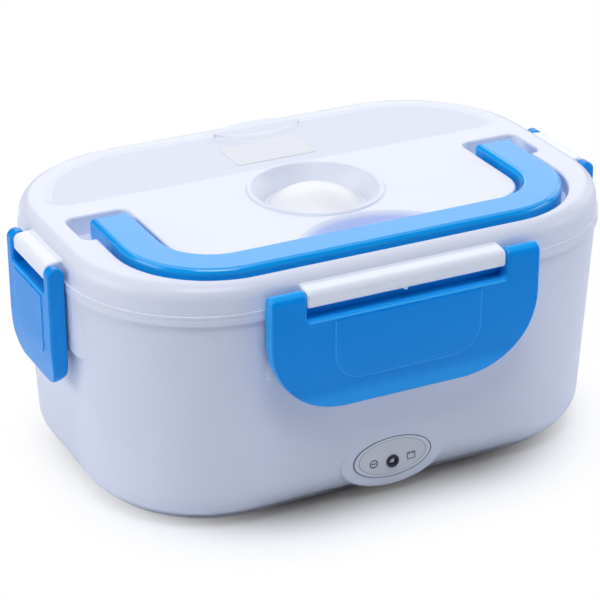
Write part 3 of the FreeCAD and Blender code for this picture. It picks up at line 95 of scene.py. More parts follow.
class Value:
    """A number socket of a shader, for use in sums and products."""

    def __init__(self, tree, socket):
        self.tree = tree
        self.socket = socket

    def joined(self, operation, *terms):
        node = self.tree.nodes.new("ShaderNodeMath")
        node.operation = operation
        for slot, term in zip(node.inputs, terms):
            if isinstance(term, Value):
                self.tree.links.new(term.socket, slot)
            else:
                slot.default_value = term
        return Value(self.tree, node.outputs[0])

    def __add__(self, other):
        return self.joined("ADD", self, other)

    def __radd__(self, other):
        return self.joined("ADD", other, self)

    def __sub__(self, other):
        return self.joined("SUBTRACT", self, other)

    def __rsub__(self, other):
        return self.joined("SUBTRACT", other, self)

    def __mul__(self, other):
        return self.joined("MULTIPLY", self, other)

    def __rmul__(self, other):
        return self.joined("MULTIPLY", other, self)

    def __pow__(self, other):
        return self.joined("POWER", self, other)

    def __gt__(self, other):
        return self.joined("GREATER_THAN", self, other)

    def __lt__(self, other):
        return self.joined("LESS_THAN", self, other)

    def __abs__(self):
        return self.joined("ABSOLUTE", self)

    def at_least(self, low):
        return self.joined("MAXIMUM", self, low)


class Nodes:
    """The nodes of one tree, each made from its type, its settings and its sockets' values or links."""

    def __init__(self, tree):
        self.tree = tree

    def put(self, slot, value):
        if isinstance(value, Value):
            self.tree.links.new(value.socket, slot)
        elif isinstance(value, bpy.types.NodeSocket):
            self.tree.links.new(value, slot)
        elif isinstance(value, tuple) and len(value) == 3 and slot.type == "RGBA":
            slot.default_value = (*value, 1.0)
        else:
            slot.default_value = value

    def node(self, kind, settings, sockets, output=0):
        made = self.tree.nodes.new("ShaderNode" + kind)
        for setting, value in settings.items():
            setattr(made, setting, value)
        for name, value in sockets.items():
            self.put(made.inputs[name], value)
        return made.outputs[output]

    def number(self, kind, settings, sockets, output=0):
        return Value(self.tree, self.node(kind, settings, sockets, output))


for name, place, size, power, colour in SOFTBOXES:
    lamp = bpy.data.lights.new(name, "AREA")
    lamp.shape = "RECTANGLE"
    lamp.size, lamp.size_y = size
    lamp.energy = power
    lamp.color = colour
    softbox = linked(name, lamp)
    softbox.location = place
    softbox.rotation_euler = (AIM - softbox.location).to_track_quat("-Z", "Y").to_euler()

world = bpy.data.worlds.new("studio")
bpy.context.scene.world = world
world.use_nodes = True
room = Nodes(world.node_tree)
dim = room.node("Background", {}, {"Color": ROOM_BLUE, "Strength": ROOM_LEVEL})
pale = room.node("Background", {}, {"Color": PALE_ROOM, "Strength": 1.0})
seen = (room.number("LightPath", {}, {}, "Is Camera Ray")
        + room.number("LightPath", {}, {}, "Is Transmission Ray"))
room.put(room.tree.nodes["World Output"].inputs["Surface"],
         room.node("MixShader", {}, {0: seen, 1: dim, 2: pale}))

# Table: a sheet of white paper whose colour darkens towards the box's foot, a painted contact shadow over the
# real one, and is painted a faint blue a little further out, painted shade. Further out its white comes from
# its own colour.
# Only gloss sees the grey card in front, so that the walls don't mirror the sheet.
SHEET_HALF = 6.0
SHADE_HALF_X = 0.0803
SHADE_HALF_Y = 0.0596
SHADE_CORNER = 0.0479
SHADE_X = 0.0005
SHADE_Y = -0.0066
PAINTED_SHADOW_REACH = 0.0346
SHADE_START = -0.010
SHADE_END = 0.0500
PAINTED_SHADOW_PAPER = (0.209, 0.204, 0.190)
OPEN_PAPER_BLUE_SHADE = (0.88, 0.915, 0.985)
CARD_EDGE_Y = -0.225
CARD_HALF_WIDTH = 1.2
CARD_DEPTH = 1.2
CARD_LIFT = 0.001
CARD_GREY = (0.10, 0.11, 0.13)
AROUND = ((-1, -1), (1, -1), (1, 1), (-1, 1))      # the sides of a rectangle's corners


class Finish(Nodes):
    """The nodes of one material. What is the same all over is set on the surface's own sockets."""

    def __init__(self, name, **even):
        self.material = bpy.data.materials.new(name)
        self.material.use_nodes = True
        super().__init__(self.material.node_tree)
        self.surface = self.tree.nodes["Principled BSDF"]
        for words, value in even.items():
            self.vary(words.replace("_", " "), value)

    def vary(self, name, value):
        self.put(self.surface.inputs[name], value)

    def colour(self):
        """What feeds the surface's colour so far."""
        return self.surface.inputs["Base Color"].links[0].from_socket

    def mix(self, factor, first, second):
        return self.node("Mix", {"data_type": "RGBA"}, {0: factor, 6: first, 7: second}, 2)

    def place(self):
        return self.node("TexCoord", {}, {}, 3)

    def axes(self):
        """The x, y and z of a point on the piece."""
        return [self.number("SeparateXYZ", {}, {0: self.place()}, axis) for axis in range(3)]

    def rise(self, value, low, high):
        """0 below the low value, 1 above the high one, and a smooth rise between them."""
        return self.number("MapRange", {"interpolation_type": "SMOOTHSTEP"},
                           {"Value": value, "From Min": low, "From Max": high})


def beyond_outline(across, along, half_across, half_along, corner):
    """Distance outward from a rounded rectangle, with both coordinates taken from its middle."""
    out_across = (abs(across) - (half_across - corner)).at_least(0.0)
    out_along = (abs(along) - (half_along - corner)).at_least(0.0)
    return (out_across * out_across + out_along * out_along) ** 0.5 - corner


def meshed(name, points, faces):
    """A new object from points and faces."""
    mesh = bpy.data.meshes.new(name)
    mesh.from_pydata(points, [], faces)
    return linked(name, mesh)


sheet = meshed("table", [(x * SHEET_HALF, y * SHEET_HALF, 0.0) for x, y in AROUND], [(0, 1, 2, 3)])

paper = Finish("white_sheet", Roughness=0.9, Specular_IOR_Level=0.1)
sheet_x, sheet_y, _ = paper.axes()
from_foot = beyond_outline(sheet_x - SHADE_X, sheet_y - SHADE_Y, SHADE_HALF_X, SHADE_HALF_Y, SHADE_CORNER)
# Painted shadow and painted blue shade: the paper's colour darkens towards the box's foot.
clear = paper.rise(from_foot, 0.0, PAINTED_SHADOW_REACH)
paper.vary("Base Color", paper.mix(clear, PAINTED_SHADOW_PAPER, OPEN_PAPER_BLUE_SHADE))
looked_at = paper.number("LightPath", {}, {}, "Is Camera Ray")
plain_white = paper.node("Emission", {}, {"Color": WHITE, "Strength": 1.0})
far_out = paper.rise(from_foot, SHADE_START, SHADE_END) * looked_at
paper.put(paper.tree.nodes["Material Output"].inputs["Surface"],
          paper.node("MixShader", {}, {0: far_out, 1: paper.surface.outputs[0], 2: plain_white}))
sheet.data.materials.append(paper.material)

card_middle_y = CARD_EDGE_Y - CARD_DEPTH / 2
card = meshed("grey_card", [(x * CARD_HALF_WIDTH, card_middle_y + y * CARD_DEPTH / 2, CARD_LIFT)
                            for x, y in AROUND], [(0, 1, 2, 3)])
card.visible_camera = False
card.visible_diffuse = False
card.visible_shadow = False
grey = Finish("grey_card", Base_Color=CARD_GREY, Roughness=0.9)
card.data.materials.append(grey.material)

# Housing: one injection-moulded shell of white ABS with a polished, faintly wavy skin.
# The tub's rim and the lid are moulded in the same plastic.
WHITE_ABS = (0.83, 0.845, 0.935)
WAVE_SCALE = 35.0       # slow waves in the skin
WAVE_DEPTH = 0.00002
GRAIN_SCALE = 900.0     # fine grain in the gloss
GRAIN_DETAIL = 3.0
GRAIN_SHARE = 0.04      # of the waves' height
DEEPER = 0.975          # the darker end of the colour's drift
GLOSS_BASE = 0.85       # shares of the mean roughness
GLOSS_SPREAD = 0.3


def dress(node, finish):
    """Give a CAD piece its finish in every material slot."""
    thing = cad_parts[node]
    thing.data.materials.clear()
    thing.data.materials.append(finish.material)
    for face in thing.data.polygons:
        face.material_index = 0


def noise(finish, scale, detail=2.0):
    return finish.number("TexNoise", {}, {"Vector": finish.place(), "Scale": scale, "Detail": detail})


def bump(finish, height, distance):
    return finish.node("Bump", {}, {"Height": height, "Distance": distance, "Strength": 1.0})


def moulded(name, colour, roughness, **even):
    """Moulded plastic: slow waves from cooling, fine grain in its gloss and a trace of colour drift."""
    finish = Finish(name, **even)
    slow = noise(finish, WAVE_SCALE)
    fine = noise(finish, GRAIN_SCALE, GRAIN_DETAIL)
    deeper = tuple(channel * DEEPER for channel in colour)
    finish.vary("Base Color", finish.mix(slow, deeper, colour))
    finish.vary("Roughness", roughness * GLOSS_BASE + fine * roughness * GLOSS_SPREAD)
    finish.vary("Normal", bump(finish, slow + fine * GRAIN_SHARE, WAVE_DEPTH))
    return finish


housing_abs = moulded("white_abs", WHITE_ABS, roughness=0.30, Specular_IOR_Level=0.3)
dress("base_housing", housing_abs)

# Base cover, feet and screws: a flat plate of the same plastic under the housing, held by four
# cross-head screws, on four round pads of black rubber.
RECESS_ARM = 0.0016
RECESS_HALF_WIDTH = 0.0004
RECESS_HEIGHT = 0.0001
SCREW_HEAD_RADIUS = 0.0028
RUBBER_BLACK = (0.03, 0.03, 0.033)
STEEL = (0.62, 0.63, 0.65)
PLASTIC_BLACK = (0.025, 0.025, 0.028)


def bands(around, pairs):
    """The faces that join loops of so many points, for pairs of loop numbers."""
    return [(i + around * one, (i + 1) % around + around * one,
             (i + 1) % around + around * other, i + around * other)
            for one, other in pairs for i in range(around)]


def stacked(name, loops, sides_round=False):
    """A closed piece through loops of points, from the lowest to the highest."""
    around, count = len(loops[0]), len(loops)
    faces = [tuple(reversed(range(around))), tuple(range(around * (count - 1), around * count))]
    faces += bands(around, zip(range(count - 1), range(1, count)))
    thing = meshed(name, [point for loop in loops for point in loop], faces)
    for face in thing.data.polygons[2:]:
        face.use_smooth = sides_round
    return thing


def fitted(thing, finish, body):
    """Finish a piece and let it ride on its body."""
    thing.data.materials.append(finish.material)
    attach(thing, body)
    return thing


cover_abs = moulded("white_abs_satin", WHITE_ABS, roughness=0.45)
rubber = moulded("black_rubber", RUBBER_BLACK, roughness=0.75)
screw_steel = moulded("plated_steel", STEEL, roughness=0.28, Metallic=1.0)
black_plastic = moulded("black_plastic", PLASTIC_BLACK, roughness=0.35)
dress("base_cover", cover_abs)
dress("base_feet", rubber)
dress("base_screws", screw_steel)

screws_low, screws_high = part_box("base_screws")
quarter = [(RECESS_ARM, -RECESS_HALF_WIDTH), (RECESS_ARM, RECESS_HALF_WIDTH),
           (RECESS_HALF_WIDTH, RECESS_HALF_WIDTH)]
cross = [(x * math.cos(turn) - y * math.sin(turn), x * math.sin(turn) + y * math.cos(turn))
         for turn in (i * math.pi / 2 for i in range(4)) for x, y in quarter]
for number, (side_x, side_y) in enumerate(AROUND, 1):
    screw_x = side_x * (screws_high.x - SCREW_HEAD_RADIUS)
    screw_y = side_y * (screws_high.y - SCREW_HEAD_RADIUS)
    loops = [[(screw_x + x, screw_y + y, screws_low.z + height) for x, y in cross]
             for height in (-RECESS_HEIGHT / 2, RECESS_HEIGHT / 2)]
    recess = stacked(f"screw_recess_{number}", loops)
    fitted(recess, black_plastic, "base")

# Tub: the fixed liner, white plastic with a rounded rim that shows as a line under the lid, and with a
# pressed aluminium heating plate in its floor. A thin lip on the rim closes the groove under the lid; it is
# painted a paler white than the rim, painted light against the groove's shade.
ALUMINIUM = (0.72, 0.73, 0.75)
RIM_HALF_X = 0.115
RIM_HALF_Y = 0.0775
RIM_CORNER = 0.057
RIM_CORNER_STEPS = 40
# The lip's paler white is painted light, set against the shade in the groove.
RIM_BEAD_PAINTED_LIGHT = (0.88, 0.89, 0.955)
RIM_BEAD_SECTION = (    # how far inside the rim's outline, and height over its top
    (0.00012, 0.00026), (0.0012, 0.00026), (0.0012, -0.0004), (0.00012, -0.0008))


def closed_ring(name, loops):
    """A closed band through loops of points, from its outer upper edge inward, down and back out."""
    faces = bands(len(loops[0]), ((loop, (loop + 1) % len(loops)) for loop in range(len(loops))))
    return meshed(name, [point for loop in loops for point in loop], faces)


def rounded_outline(middle, half, corner, steps):
    """Points round a rounded rectangle, anticlockwise from the foot of its right side."""
    points = []
    for side_x, side_y, start in ((1, -1, -90), (1, 1, 0), (-1, 1, 90), (-1, -1, 180)):
        for step in range(steps + 1):
            turn = math.radians(start + 90 * step / steps)
            points.append((middle[0] + side_x * (half[0] - corner) + corner * math.cos(turn),
                           middle[1] + side_y * (half[1] - corner) + corner * math.sin(turn)))
    return points


tub_abs = moulded("tub_white", WHITE_ABS, roughness=0.32)
plate_metal = moulded("brushed_aluminium", ALUMINIUM, roughness=0.34, Metallic=1.0)
rim_painted_light = moulded("rim_white_painted_light", RIM_BEAD_PAINTED_LIGHT, roughness=0.32)
for node in ("tub_rim", "inner_tub", "screw_posts"):
    dress(node, tub_abs)
dress("heating_plate", plate_metal)

rim_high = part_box("tub_rim")[1]
rim_loops = []
for inset, height in RIM_BEAD_SECTION:
    outline = rounded_outline((0.0, 0.0), (RIM_HALF_X - inset, RIM_HALF_Y - inset), RIM_CORNER - inset,
                              RIM_CORNER_STEPS)
    rim_loops.append([(x, y, rim_high.z + height) for x, y in outline])
fitted(closed_ring("rim_bead", rim_loops), rim_painted_light, "base")

# Side bosses: the housing's wall stands out behind the left and right latches, wider than they are.
# Each is part of the housing's moulding and fades into the corner at its ends and foot.
BOSS_HALF_WIDTH = 0.0345
BOSS_LEVELS = (         # height, and how far inside the rim's outline
    (0.0640, 0.00235), (0.0675, 0.00050), (0.09096, 0.00038))
BOSS_DEEP = 0.0035
BOSS_STEPS = 24
BOSS_FADE = 0.0110
BOSS_FADE_DEPTH = 0.0024

for name, side in (("side_boss_right", 1), ("side_boss_left", -1)):
    loops = []
    for height, inset in BOSS_LEVELS:
        outer, inner = [], []
        for step in range(BOSS_STEPS + 1):
            y = BOSS_HALF_WIDTH * (2 * step / BOSS_STEPS - 1)
            over = max(abs(y) - (RIM_HALF_Y - RIM_CORNER), 0.0)
            fade = max(abs(y) - (BOSS_HALF_WIDTH - BOSS_FADE), 0.0) / BOSS_FADE
            x = RIM_HALF_X - RIM_CORNER + math.sqrt(RIM_CORNER ** 2 - over ** 2)
            outer.append((side * (x - inset - BOSS_FADE_DEPTH * fade ** 2), side * y, height))
            inner.append((side * (x - inset - BOSS_DEEP), side * y, height))
        loops.append(outer + inner[::-1])
    fitted(stacked(name, loops), housing_abs, "base")

# Heater parts: a ceramic heater in an aluminium case under a spring strap, a cut-out and a fuse.
# They are closed in between tub and base cover.
LEAD_RED = (0.55, 0.06, 0.05)

for node in ("ptc_heater", "heater_strap", "strap_screws", "thermostat", "thermal_fuse"):
    dress(node, screw_steel)
dress("inner_wires", moulded("silicone_lead", LEAD_RED, roughness=0.5))

# Inlet: a two-pin socket of black plastic, let into the oval boss on the back of the housing.
# Its pins are brass.
BRASS = (0.78, 0.66, 0.42)

dress("power_inlet", black_plastic)
dress("inlet_pins", moulded("pin_brass", BRASS, roughness=0.25, Metallic=1.0))

# Indicator: a silver-grey oval let into the boss, with a dark seam round its edge and a fine line inside.
# The band between them is painted paler, a painted highlight on its bevel.
# Black printed signs stand beside the lamp, which looks out of a black ring.
PANEL_SILVER = (0.77, 0.765, 0.78)
PANEL_BEVEL_HIGHLIGHT = (0.80, 0.805, 0.84)
PANEL_LINE = (0.43, 0.45, 0.48)
PANEL_SEAM = (0.16, 0.17, 0.18)
SEAM_FROM = 0.972       # shares of the way from the oval's middle to its edge
LINE_FROM = 0.845
LINE_TO = 0.868
PANEL_WAVE_SCALE = 60.0
SMOKY = (0.85, 0.86, 0.88)
BOARD_GREEN = (0.05, 0.22, 0.09)
INK = (0.035, 0.035, 0.04)
RING_RADIUS = 0.00215
RING_TUBE = 0.00062
SIGN_REACH = 0.0084     # from the lamp to each sign
SIGN_RISE = 0.0005
SIGN_RADIUS = 0.00160
SIGN_LINE = 0.00024
SIGN_BAR = 0.00105
BOX_HALF = 0.0017
BOX_HALF_HEIGHT = 0.0014
BOX_EAR = 0.0007
SIGN_SUNK = 0.00008
RING_STEPS = 48
SIGN_STEPS = 32
WIRE_ROUNDNESS = 3


def wire_piece(name, loops, radius, open_lines=()):
    """A piece of round wire along closed loops and open lines of points."""
    curve = bpy.data.curves.new(name, "CURVE")
    curve.dimensions = "3D"
    curve.bevel_depth = radius
    curve.bevel_resolution = WIRE_ROUNDNESS
    curve.use_fill_caps = True
    for points, closed in [(loop, True) for loop in loops] + [(line, False) for line in open_lines]:
        spline = curve.splines.new("POLY")
        spline.points.add(len(points) - 1)
        for point, place in zip(spline.points, points):
            point.co = (*place, 1.0)
        spline.use_cyclic_u = closed
    return linked(name, curve)


def circle_on_front(centre_x, y, centre_z, radius, count):
    """Points of a circle that faces the front."""
    turns = (2 * math.pi * i / count for i in range(count))
    return [(centre_x + radius * math.cos(turn), y, centre_z + radius * math.sin(turn)) for turn in turns]


panel_low, panel_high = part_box("indicator_panel")
bezel_low, bezel_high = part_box("led_bezel")
lamp_z = (bezel_low.z + bezel_high.z) / 2
silver = Finish("silver_panel", Roughness=0.38)
panel_x, _, panel_z = silver.axes()
across = panel_x * (1 / panel_high.x)
upward = (panel_z - (panel_low.z + panel_high.z) / 2) * (2 / (panel_high.z - panel_low.z))
outward = (across * across + upward * upward) ** 0.5
# A paler band between line and seam: painted highlight on the panel's bevel.
field = silver.mix(outward > LINE_TO, PANEL_SILVER, PANEL_BEVEL_HIGHLIGHT)
lined = silver.mix((outward > LINE_FROM) * (outward < LINE_TO), field, PANEL_LINE)
silver.vary("Base Color", silver.mix(outward > SEAM_FROM, lined, PANEL_SEAM))
silver.vary("Normal", bump(silver, noise(silver, PANEL_WAVE_SCALE), WAVE_DEPTH))
dress("indicator_panel", silver)
dress("led_bezel", black_plastic)
dress("led_lens", moulded("smoky_lens", SMOKY, roughness=0.12))
dress("led_board", moulded("board_green", BOARD_GREEN, roughness=0.4))

ring = wire_piece("led_ring", [circle_on_front(0.0, bezel_low.y, lamp_z, RING_RADIUS, RING_STEPS)], RING_TUBE)
fitted(ring, black_plastic, "base")
ink = moulded("black_ink", INK, roughness=0.5)
sign_y = panel_low.y + SIGN_SUNK
sign_z = lamp_z + SIGN_RISE
heat_bar = [(-SIGN_REACH - SIGN_BAR, sign_y, sign_z), (-SIGN_REACH + SIGN_BAR, sign_y, sign_z)]
heat_ring = circle_on_front(-SIGN_REACH, sign_y, sign_z, SIGN_RADIUS, SIGN_STEPS)
fitted(wire_piece("heat_sign", [heat_ring], SIGN_LINE, [heat_bar]), ink, "base")
box_corners = [(SIGN_REACH + x * BOX_HALF, sign_y, sign_z + z * BOX_HALF_HEIGHT) for x, z in AROUND]
ears = [[(SIGN_REACH + x * BOX_HALF / 2, sign_y, sign_z + BOX_HALF_HEIGHT - BOX_EAR),
         (SIGN_REACH + x * BOX_HALF / 2, sign_y, sign_z + BOX_HALF_HEIGHT + BOX_EAR / 2)] for x in (-1, 1)]
fitted(wire_piece("box_sign", [box_corners], SIGN_LINE, ears), ink, "base")

# Food containers: a deep tray of white polypropylene that hangs in the tub by its rim, and a small one
# of the same plastic on its shelf, with a pressed-on lid of clear polypropylene.
TRAY_WHITE = (0.88, 0.89, 0.91)
CLEAR_LID = (0.80, 0.86, 0.95)

tray_pp = moulded("white_polypropylene", TRAY_WHITE, roughness=0.35)
dress("food_container", tray_pp)
dress("small_container", tray_pp)
dress("small_container_lid", moulded("clear_polypropylene", CLEAR_LID, roughness=0.25, Alpha=0.6))

# Lid: a shell of the same white ABS with a welded inner cover and a silicone gasket.
# Its recesses round the handle are painted a cooler, darker tint, most in the scoop: painted shade with the
# blue light thrown from the handle. Its bars outside the rim are painted whiter, painted light.
RECESS_PAINTED_SHADE = (0.84, 0.86, 0.97)
SCOOP_PAINTED_SHADE = (0.49, 0.57, 0.885)
SCOOP_HALF_WIDTH = 0.045
SCOOP_FRONT = -0.0486
BAR_PAINTED_LIGHT = (0.955, 0.96, 1.0)
BAR_STANDS_OUT = 0.0006
RECESS_FROM = 0.0003    # depth under the window's top, which stands 0.2 mm above the lid
RECESS_TO = 0.0018
LID_RIM = 0.008         # the rounded rim outside the recesses
LID_CORNER = 0.049
WELL_REACH = 0.030
MILKY = (0.95, 0.945, 0.93)

silicone = moulded("milky_silicone", MILKY, roughness=0.42, Subsurface_Weight=0.1,
                   Subsurface_Radius=(0.004, 0.004, 0.004))
lid_abs = moulded("lid_abs", WHITE_ABS, roughness=0.30, Specular_IOR_Level=0.3)
window_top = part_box("blank_label")[0].z
plug_low, plug_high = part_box("vent_plug")
plug_x = (plug_low.x + plug_high.x) / 2
plug_y = (plug_low.y + plug_high.y) / 2
lid_x, lid_y, lid_z = lid_abs.axes()
from_vent = ((lid_x - plug_x) ** 2 + (lid_y - plug_y) ** 2) ** 0.5
within = beyond_outline(lid_x, lid_y, rim_high.x - LID_RIM, rim_high.y - LID_RIM, LID_CORNER) < 0.0
# Painted shade: the recesses grow darker and bluer with depth under the window's top.
shade_by_depth = lid_abs.rise(window_top - lid_z, RECESS_FROM, RECESS_TO) * within * (from_vent > WELL_REACH)
lid_plain = lid_abs.colour()
in_scoop = (abs(lid_x) < SCOOP_HALF_WIDTH) * (lid_y > SCOOP_FRONT) * (lid_y < 0.0)
painted_shade = lid_abs.mix(in_scoop, RECESS_PAINTED_SHADE, SCOOP_PAINTED_SHADE)
# Painted light: the bars outside the rim are painted whiter.
outside = beyond_outline(lid_x, lid_y, RIM_HALF_X, RIM_HALF_Y, RIM_CORNER) > BAR_STANDS_OUT
lid_abs.vary("Base Color", lid_abs.mix(outside, lid_abs.mix(shade_by_depth, lid_plain, painted_shade), BAR_PAINTED_LIGHT))
dress("lid_shell", lid_abs)
dress("lid_inner_cover", cover_abs)
dress("lid_gasket", silicone)

# Handle: one glossy blue moulding on two pegs, a little see-through in its depth.
# A paler line is painted where its top rounds over, a painted highlight, and its sides are painted a lighter
# blue, painted light against their shade.
BLUE = (0.003, 0.375, 0.93)
PAINTED_HIGHLIGHT_BLUE = (0.10, 0.50, 1.0)
HIGHLIGHT_FROM = 0.0005    # below the handle's top
HIGHLIGHT_TO = 0.00016
SIDE_PAINTED_LIGHT_BLUE = (0.006, 0.43, 1.0)
SIDE_FROM = 0.0006      # where the sides' painted light begins below the top
SIDE_TO = 0.0014

handle_pp = moulded("glossy_blue", BLUE, roughness=0.16, Subsurface_Weight=0.35,
                    Subsurface_Radius=(0.3, 1.0, 1.0), Subsurface_Scale=0.004)
handle_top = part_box("carry_handle")[1].z
handle_z = handle_pp.axes()[2]
# Painted highlight along the top's rounded edge, and painted light on the sides.
painted_highlight = (handle_z > handle_top - HIGHLIGHT_FROM) * (handle_z < handle_top - HIGHLIGHT_TO)
side_painted_light = handle_pp.rise(handle_top - handle_z, SIDE_FROM, SIDE_TO)
handle_with_side_light = handle_pp.mix(side_painted_light, handle_pp.colour(), SIDE_PAINTED_LIGHT_BLUE)
handle_pp.vary("Base Color", handle_pp.mix(painted_highlight, handle_with_side_light, PAINTED_HIGHLIGHT_BLUE))
dress("carry_handle", handle_pp)

# Spoon compartment: a frosted window that lies on a white ledge, so that its border is paler, with a thin
# lip all round that covers its seam in the lid. A darker line painted at the ledge's inner edge is painted
# shade.
# A ramp of the same plastic leads up to its finger tab. A blank paper label sticks on it, and the spoon lies
# under it.
WINDOW_HALF_X = 0.103   # the lid's outline, less the window's setback, which the front line cuts off
WINDOW_HALF_Y = 0.0655
WINDOW_CORNER = 0.045
LEDGE = 0.003
LEDGE_SOFT = 0.0006
LEDGE_CORNER = 0.006
LEDGE_LINE = 0.0009
PAINTED_SHADE_LINE = (0.735, 0.76, 0.875)
WINDOW_COLOUR = (0.765, 0.785, 0.865)
BORDER_COLOUR = (0.825, 0.84, 0.93)
RAMP_COLOUR = (0.905, 0.92, 0.97)
TAB_X = 0.006
TAB_Y = 0.0625
TAB_HALF_WIDTH = 0.020
TAB_HALF_DEPTH = 0.008
RAMP_LAP = 0.0012       # how far the ramp lies on the tab
RAMP_SIDE = 0.0045
RAMP_FRONT = 0.0058
RAMP_PROUD = 0.00003
RAMP_SUNK = 0.0003      # how far the ramp's foot lies in the window
RAMP_EDGE_SUNK = 0.0001
RAMP_TURNS = 48
RAMP_STEPS = 12
LIP_SECTION = (         # how far outside the window's edge, and depth below its top
    (0.00112, 0.00018), (-0.00002, 0.00001), (-0.00002, 0.0010), (0.00042, 0.0010), (0.00042, 0.00030))
FRONT_CORNER = 0.0075
ARC_STEPS = 24
MILK_SCALE = 22.0
MILK_DEEPER = 0.985
FROST_DEPTH = 0.00003
LABEL_PAPER = (0.84, 0.835, 0.86)
LABEL_CORNER = 0.0018
LABEL_CORNER_STEPS = 6
SPOON_WHITE = (0.88, 0.89, 0.92)

window_low, window_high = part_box("spoon_window")
label_low, label_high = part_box("blank_label")
window_pp = Finish("frosted_window", Roughness=0.42, Specular_IOR_Level=0.3)
window_x, window_y, _ = window_pp.axes()
from_side = beyond_outline(window_x, window_y, WINDOW_HALF_X, WINDOW_HALF_Y, WINDOW_CORNER) + LEDGE
from_front = window_low.y - window_y
side_round = (from_side + LEDGE_CORNER).at_least(0.0)
front_round = (from_front + LEDGE_CORNER).at_least(0.0)
past_ledge = (side_round * side_round + front_round * front_round) ** 0.5 - LEDGE_CORNER
border = window_pp.rise(past_ledge, -LEDGE_SOFT, 0.0)
# Painted shade: a soft darker line along the ledge's inner edge.
painted_shade_line = (1.0 - abs(past_ledge) * (1 / LEDGE_LINE)).at_least(0.0) * (from_front < -LEDGE_LINE)
drift = noise(window_pp, MILK_SCALE)
milky = window_pp.mix(drift, tuple(channel * MILK_DEEPER for channel in WINDOW_COLOUR), WINDOW_COLOUR)
bordered = window_pp.mix(border, milky, BORDER_COLOUR)
window_pp.vary("Base Color", window_pp.mix(painted_shade_line, bordered, PAINTED_SHADE_LINE))
window_pp.vary("Normal", bump(window_pp, drift, FROST_DEPTH))
dress("spoon_window", window_pp)


def window_outline(out):
    """Half of the window's edge, moved outward: the front corner's round, then the end's large arc."""
    arc_x = WINDOW_HALF_X - WINDOW_CORNER
    arc_y = WINDOW_HALF_Y - WINDOW_CORNER
    corner_y = window_low.y + FRONT_CORNER
    reach = WINDOW_CORNER - FRONT_CORNER
    corner_x = arc_x + math.sqrt(reach ** 2 - (corner_y - arc_y) ** 2)
    meeting = math.atan2(corner_y - arc_y, corner_x - arc_x)
    points = []
    for x, y, radius, start, end in ((corner_x, corner_y, FRONT_CORNER + out, -math.pi / 2, meeting),
                                     (arc_x, arc_y, WINDOW_CORNER + out, meeting, math.pi / 2)):
        turns = (start + (end - start) * i / ARC_STEPS for i in range(ARC_STEPS + 1))
        points += [(x + radius * math.cos(turn), y + radius * math.sin(turn)) for turn in turns]
    return points + [(-x, y) for x, y in reversed(points)]


bead = closed_ring("window_bead", [[(x, y, window_top - drop) for x, y in window_outline(out)]
                                   for out, drop in LIP_SECTION])
bead_pp = moulded("window_edge", WHITE_ABS, roughness=0.36, Specular_IOR_Level=0.3)
fitted(bead, bead_pp, "window")

ramp_high = window_high.z + RAMP_PROUD
ramp_low = window_top - RAMP_EDGE_SUNK
ramp_top, ramp_foot = [], []
for turn in (math.pi * (1 + i / RAMP_TURNS) for i in range(RAMP_TURNS + 1)):
    spread = abs(math.sin(turn))
    inner = (TAB_HALF_WIDTH - RAMP_LAP, TAB_HALF_DEPTH - RAMP_LAP)
    outer = (TAB_HALF_WIDTH + RAMP_SIDE * spread, TAB_HALF_DEPTH + RAMP_FRONT * spread)
    for share in (i / RAMP_STEPS for i in range(RAMP_STEPS + 1)):
        half_x = inner[0] + (outer[0] - inner[0]) * share
        half_y = inner[1] + (outer[1] - inner[1]) * share
        fall = (1 - math.cos(math.pi * share)) / 2
        place = (TAB_X + half_x * math.cos(turn), TAB_Y + half_y * math.sin(turn))
        ramp_top.append((*place, ramp_high - (ramp_high - ramp_low) * fall))
        ramp_foot.append((*place, window_top - RAMP_SUNK))
row = RAMP_STEPS + 1
foot = len(ramp_top)
cells = [(i * row + j, i * row + j + 1, (i + 1) * row + j + 1, (i + 1) * row + j)
         for i in range(RAMP_TURNS) for j in range(RAMP_STEPS)]
rim_of_ramp = ([j for j in range(row)] + [i * row + RAMP_STEPS for i in range(1, RAMP_TURNS + 1)]
               + [RAMP_TURNS * row + j for j in range(RAMP_STEPS - 1, -1, -1)]
               + [i * row for i in range(RAMP_TURNS - 1, 0, -1)])
walls = [(b, a, a + foot, b + foot) for a, b in zip(rim_of_ramp, rim_of_ramp[1:] + rim_of_ramp[:1])]
underside = [tuple(corner + foot for corner in reversed(cell)) for cell in cells]
ramp = meshed("tab_ramp", ramp_top + ramp_foot, cells + underside + walls)
for face in ramp.data.polygons[:len(cells)]:
    face.use_smooth = True
ramp_pp = moulded("thin_ramp", RAMP_COLOUR, roughness=0.42, Specular_IOR_Level=0.3)
fitted(ramp, ramp_pp, "window")

label_edge = rounded_outline((label_low + label_high) / 2, (label_high - label_low) / 2, LABEL_CORNER,
                             LABEL_CORNER_STEPS)
label = stacked("window_label", [[(*point, z) for point in label_edge] for z in (label_low.z, label_high.z)],
                sides_round=True)
fitted(label, moulded("label_paper", LABEL_PAPER, roughness=0.6), "window")
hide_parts("blank_label")
dress("spoon", moulded("spoon_plastic", SPOON_WHITE, roughness=0.3))

# Vent: a plug of milky silicone, moulded as a hollow dome on a stem.
# The stem is pushed by hand into the steam hole in the lid's well.
dress("vent_plug", silicone)
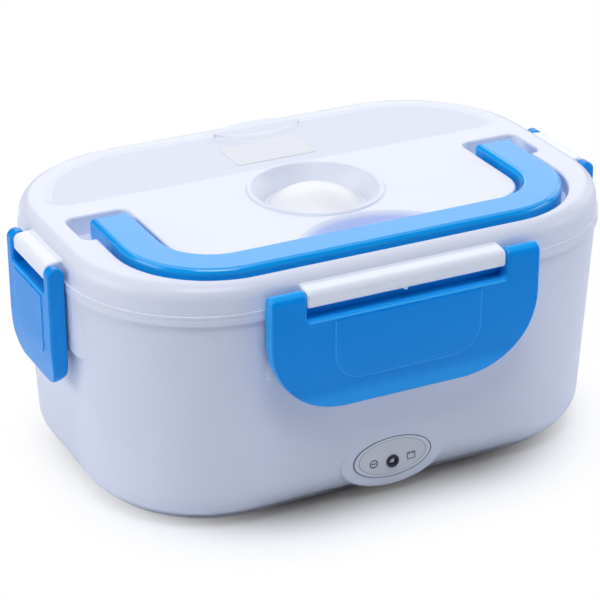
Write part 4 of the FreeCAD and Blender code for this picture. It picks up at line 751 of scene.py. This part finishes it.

# Latches: four clips of the handle's blue plastic with a satin skin, painted paler where an edge catches
# light,
# a painted highlight: round the raised panel on each face, along the lower lip of the notch and along the
# long latches' sides. A web stands behind the notch.
LATCH_BLUE = (0.003, 0.305, 0.865)
EDGE_BLUE = (0.05, 0.47, 0.99)
LATCH_SIDE_HIGHLIGHT = (0.015, 0.40, 0.97)
SIDE_START = 0.0008     # behind the face
SIDE_FULL = 0.0016
PANEL_LOW = 0.062       # heights above the floor
PANEL_TOP = 0.088
PANEL_RISE = 0.030      # half the height that the outline is drawn for, past the panel's top
LINE_HALF_WIDTH = 0.00028
LIP_LOW = 0.0887
LIP_HIGH = 0.0894
LONG_PANEL = (0.0315, 0.012)     # half width and corner radius
SHORT_PANEL = (0.0145, 0.005)
LONG_NOTCH = 0.0427              # half width
SHORT_NOTCH = 0.0168
WEB_LOW = 0.0888
WEB_HIGH = 0.0925
WEB_THICKNESS = 0.0010
LATCH_GLOSS = {"roughness": 0.24, "Specular_IOR_Level": 0.2}


def latch_blue(name, axis, panel, notch):
    """Satin blue with the painted highlight lines of a latch whose face runs along the given axis."""
    finish = moulded(name, LATCH_BLUE, **LATCH_GLOSS)
    places = finish.axes()
    half, corner = panel
    off = beyond_outline(places[axis], places[2] - (PANEL_LOW + PANEL_RISE), half, PANEL_RISE, corner)
    outline = (abs(off) < LINE_HALF_WIDTH) * (places[2] < PANEL_TOP)
    lip = (abs(places[axis]) < notch) * (places[2] > LIP_LOW) * (places[2] < LIP_HIGH)
    finish.vary("Base Color", finish.mix(outline.at_least(lip), finish.colour(), EDGE_BLUE))
    return finish


long_blue = latch_blue("satin_blue_long", 0, LONG_PANEL, LONG_NOTCH)
# Painted highlight: the long latches' sides are painted a paler blue.
behind_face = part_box("latch_back")[1].y - abs(long_blue.axes()[1])
side_highlight = long_blue.rise(behind_face, SIDE_START, SIDE_FULL)
long_blue.vary("Base Color", long_blue.mix(side_highlight, long_blue.colour(), LATCH_SIDE_HIGHLIGHT))
short_blue = latch_blue("satin_blue_short", 1, SHORT_PANEL, SHORT_NOTCH)
web_blue = moulded("satin_blue", LATCH_BLUE, **LATCH_GLOSS)
for side, axis, sign in (("front", 1, -1), ("right", 0, 1), ("back", 1, 1), ("left", 0, -1)):
    node = "latch_" + side
    long_side = axis == 1
    dress(node, long_blue if long_side else short_blue)
    near = min(abs(corner[axis]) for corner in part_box(node))
    half = LONG_NOTCH if long_side else SHORT_NOTCH
    loops = []
    for z in (WEB_LOW, WEB_HIGH):
        plan = [(-half, near), (half, near), (half, near + WEB_THICKNESS), (-half, near + WEB_THICKNESS)]
        placed = [(along, sign * out, z) if long_side else (sign * out, along, z) for along, out in plan]
        loops.append(placed if (sign > 0) == long_side else placed[::-1])
    fitted(stacked("web_" + side, loops), web_blue, node)
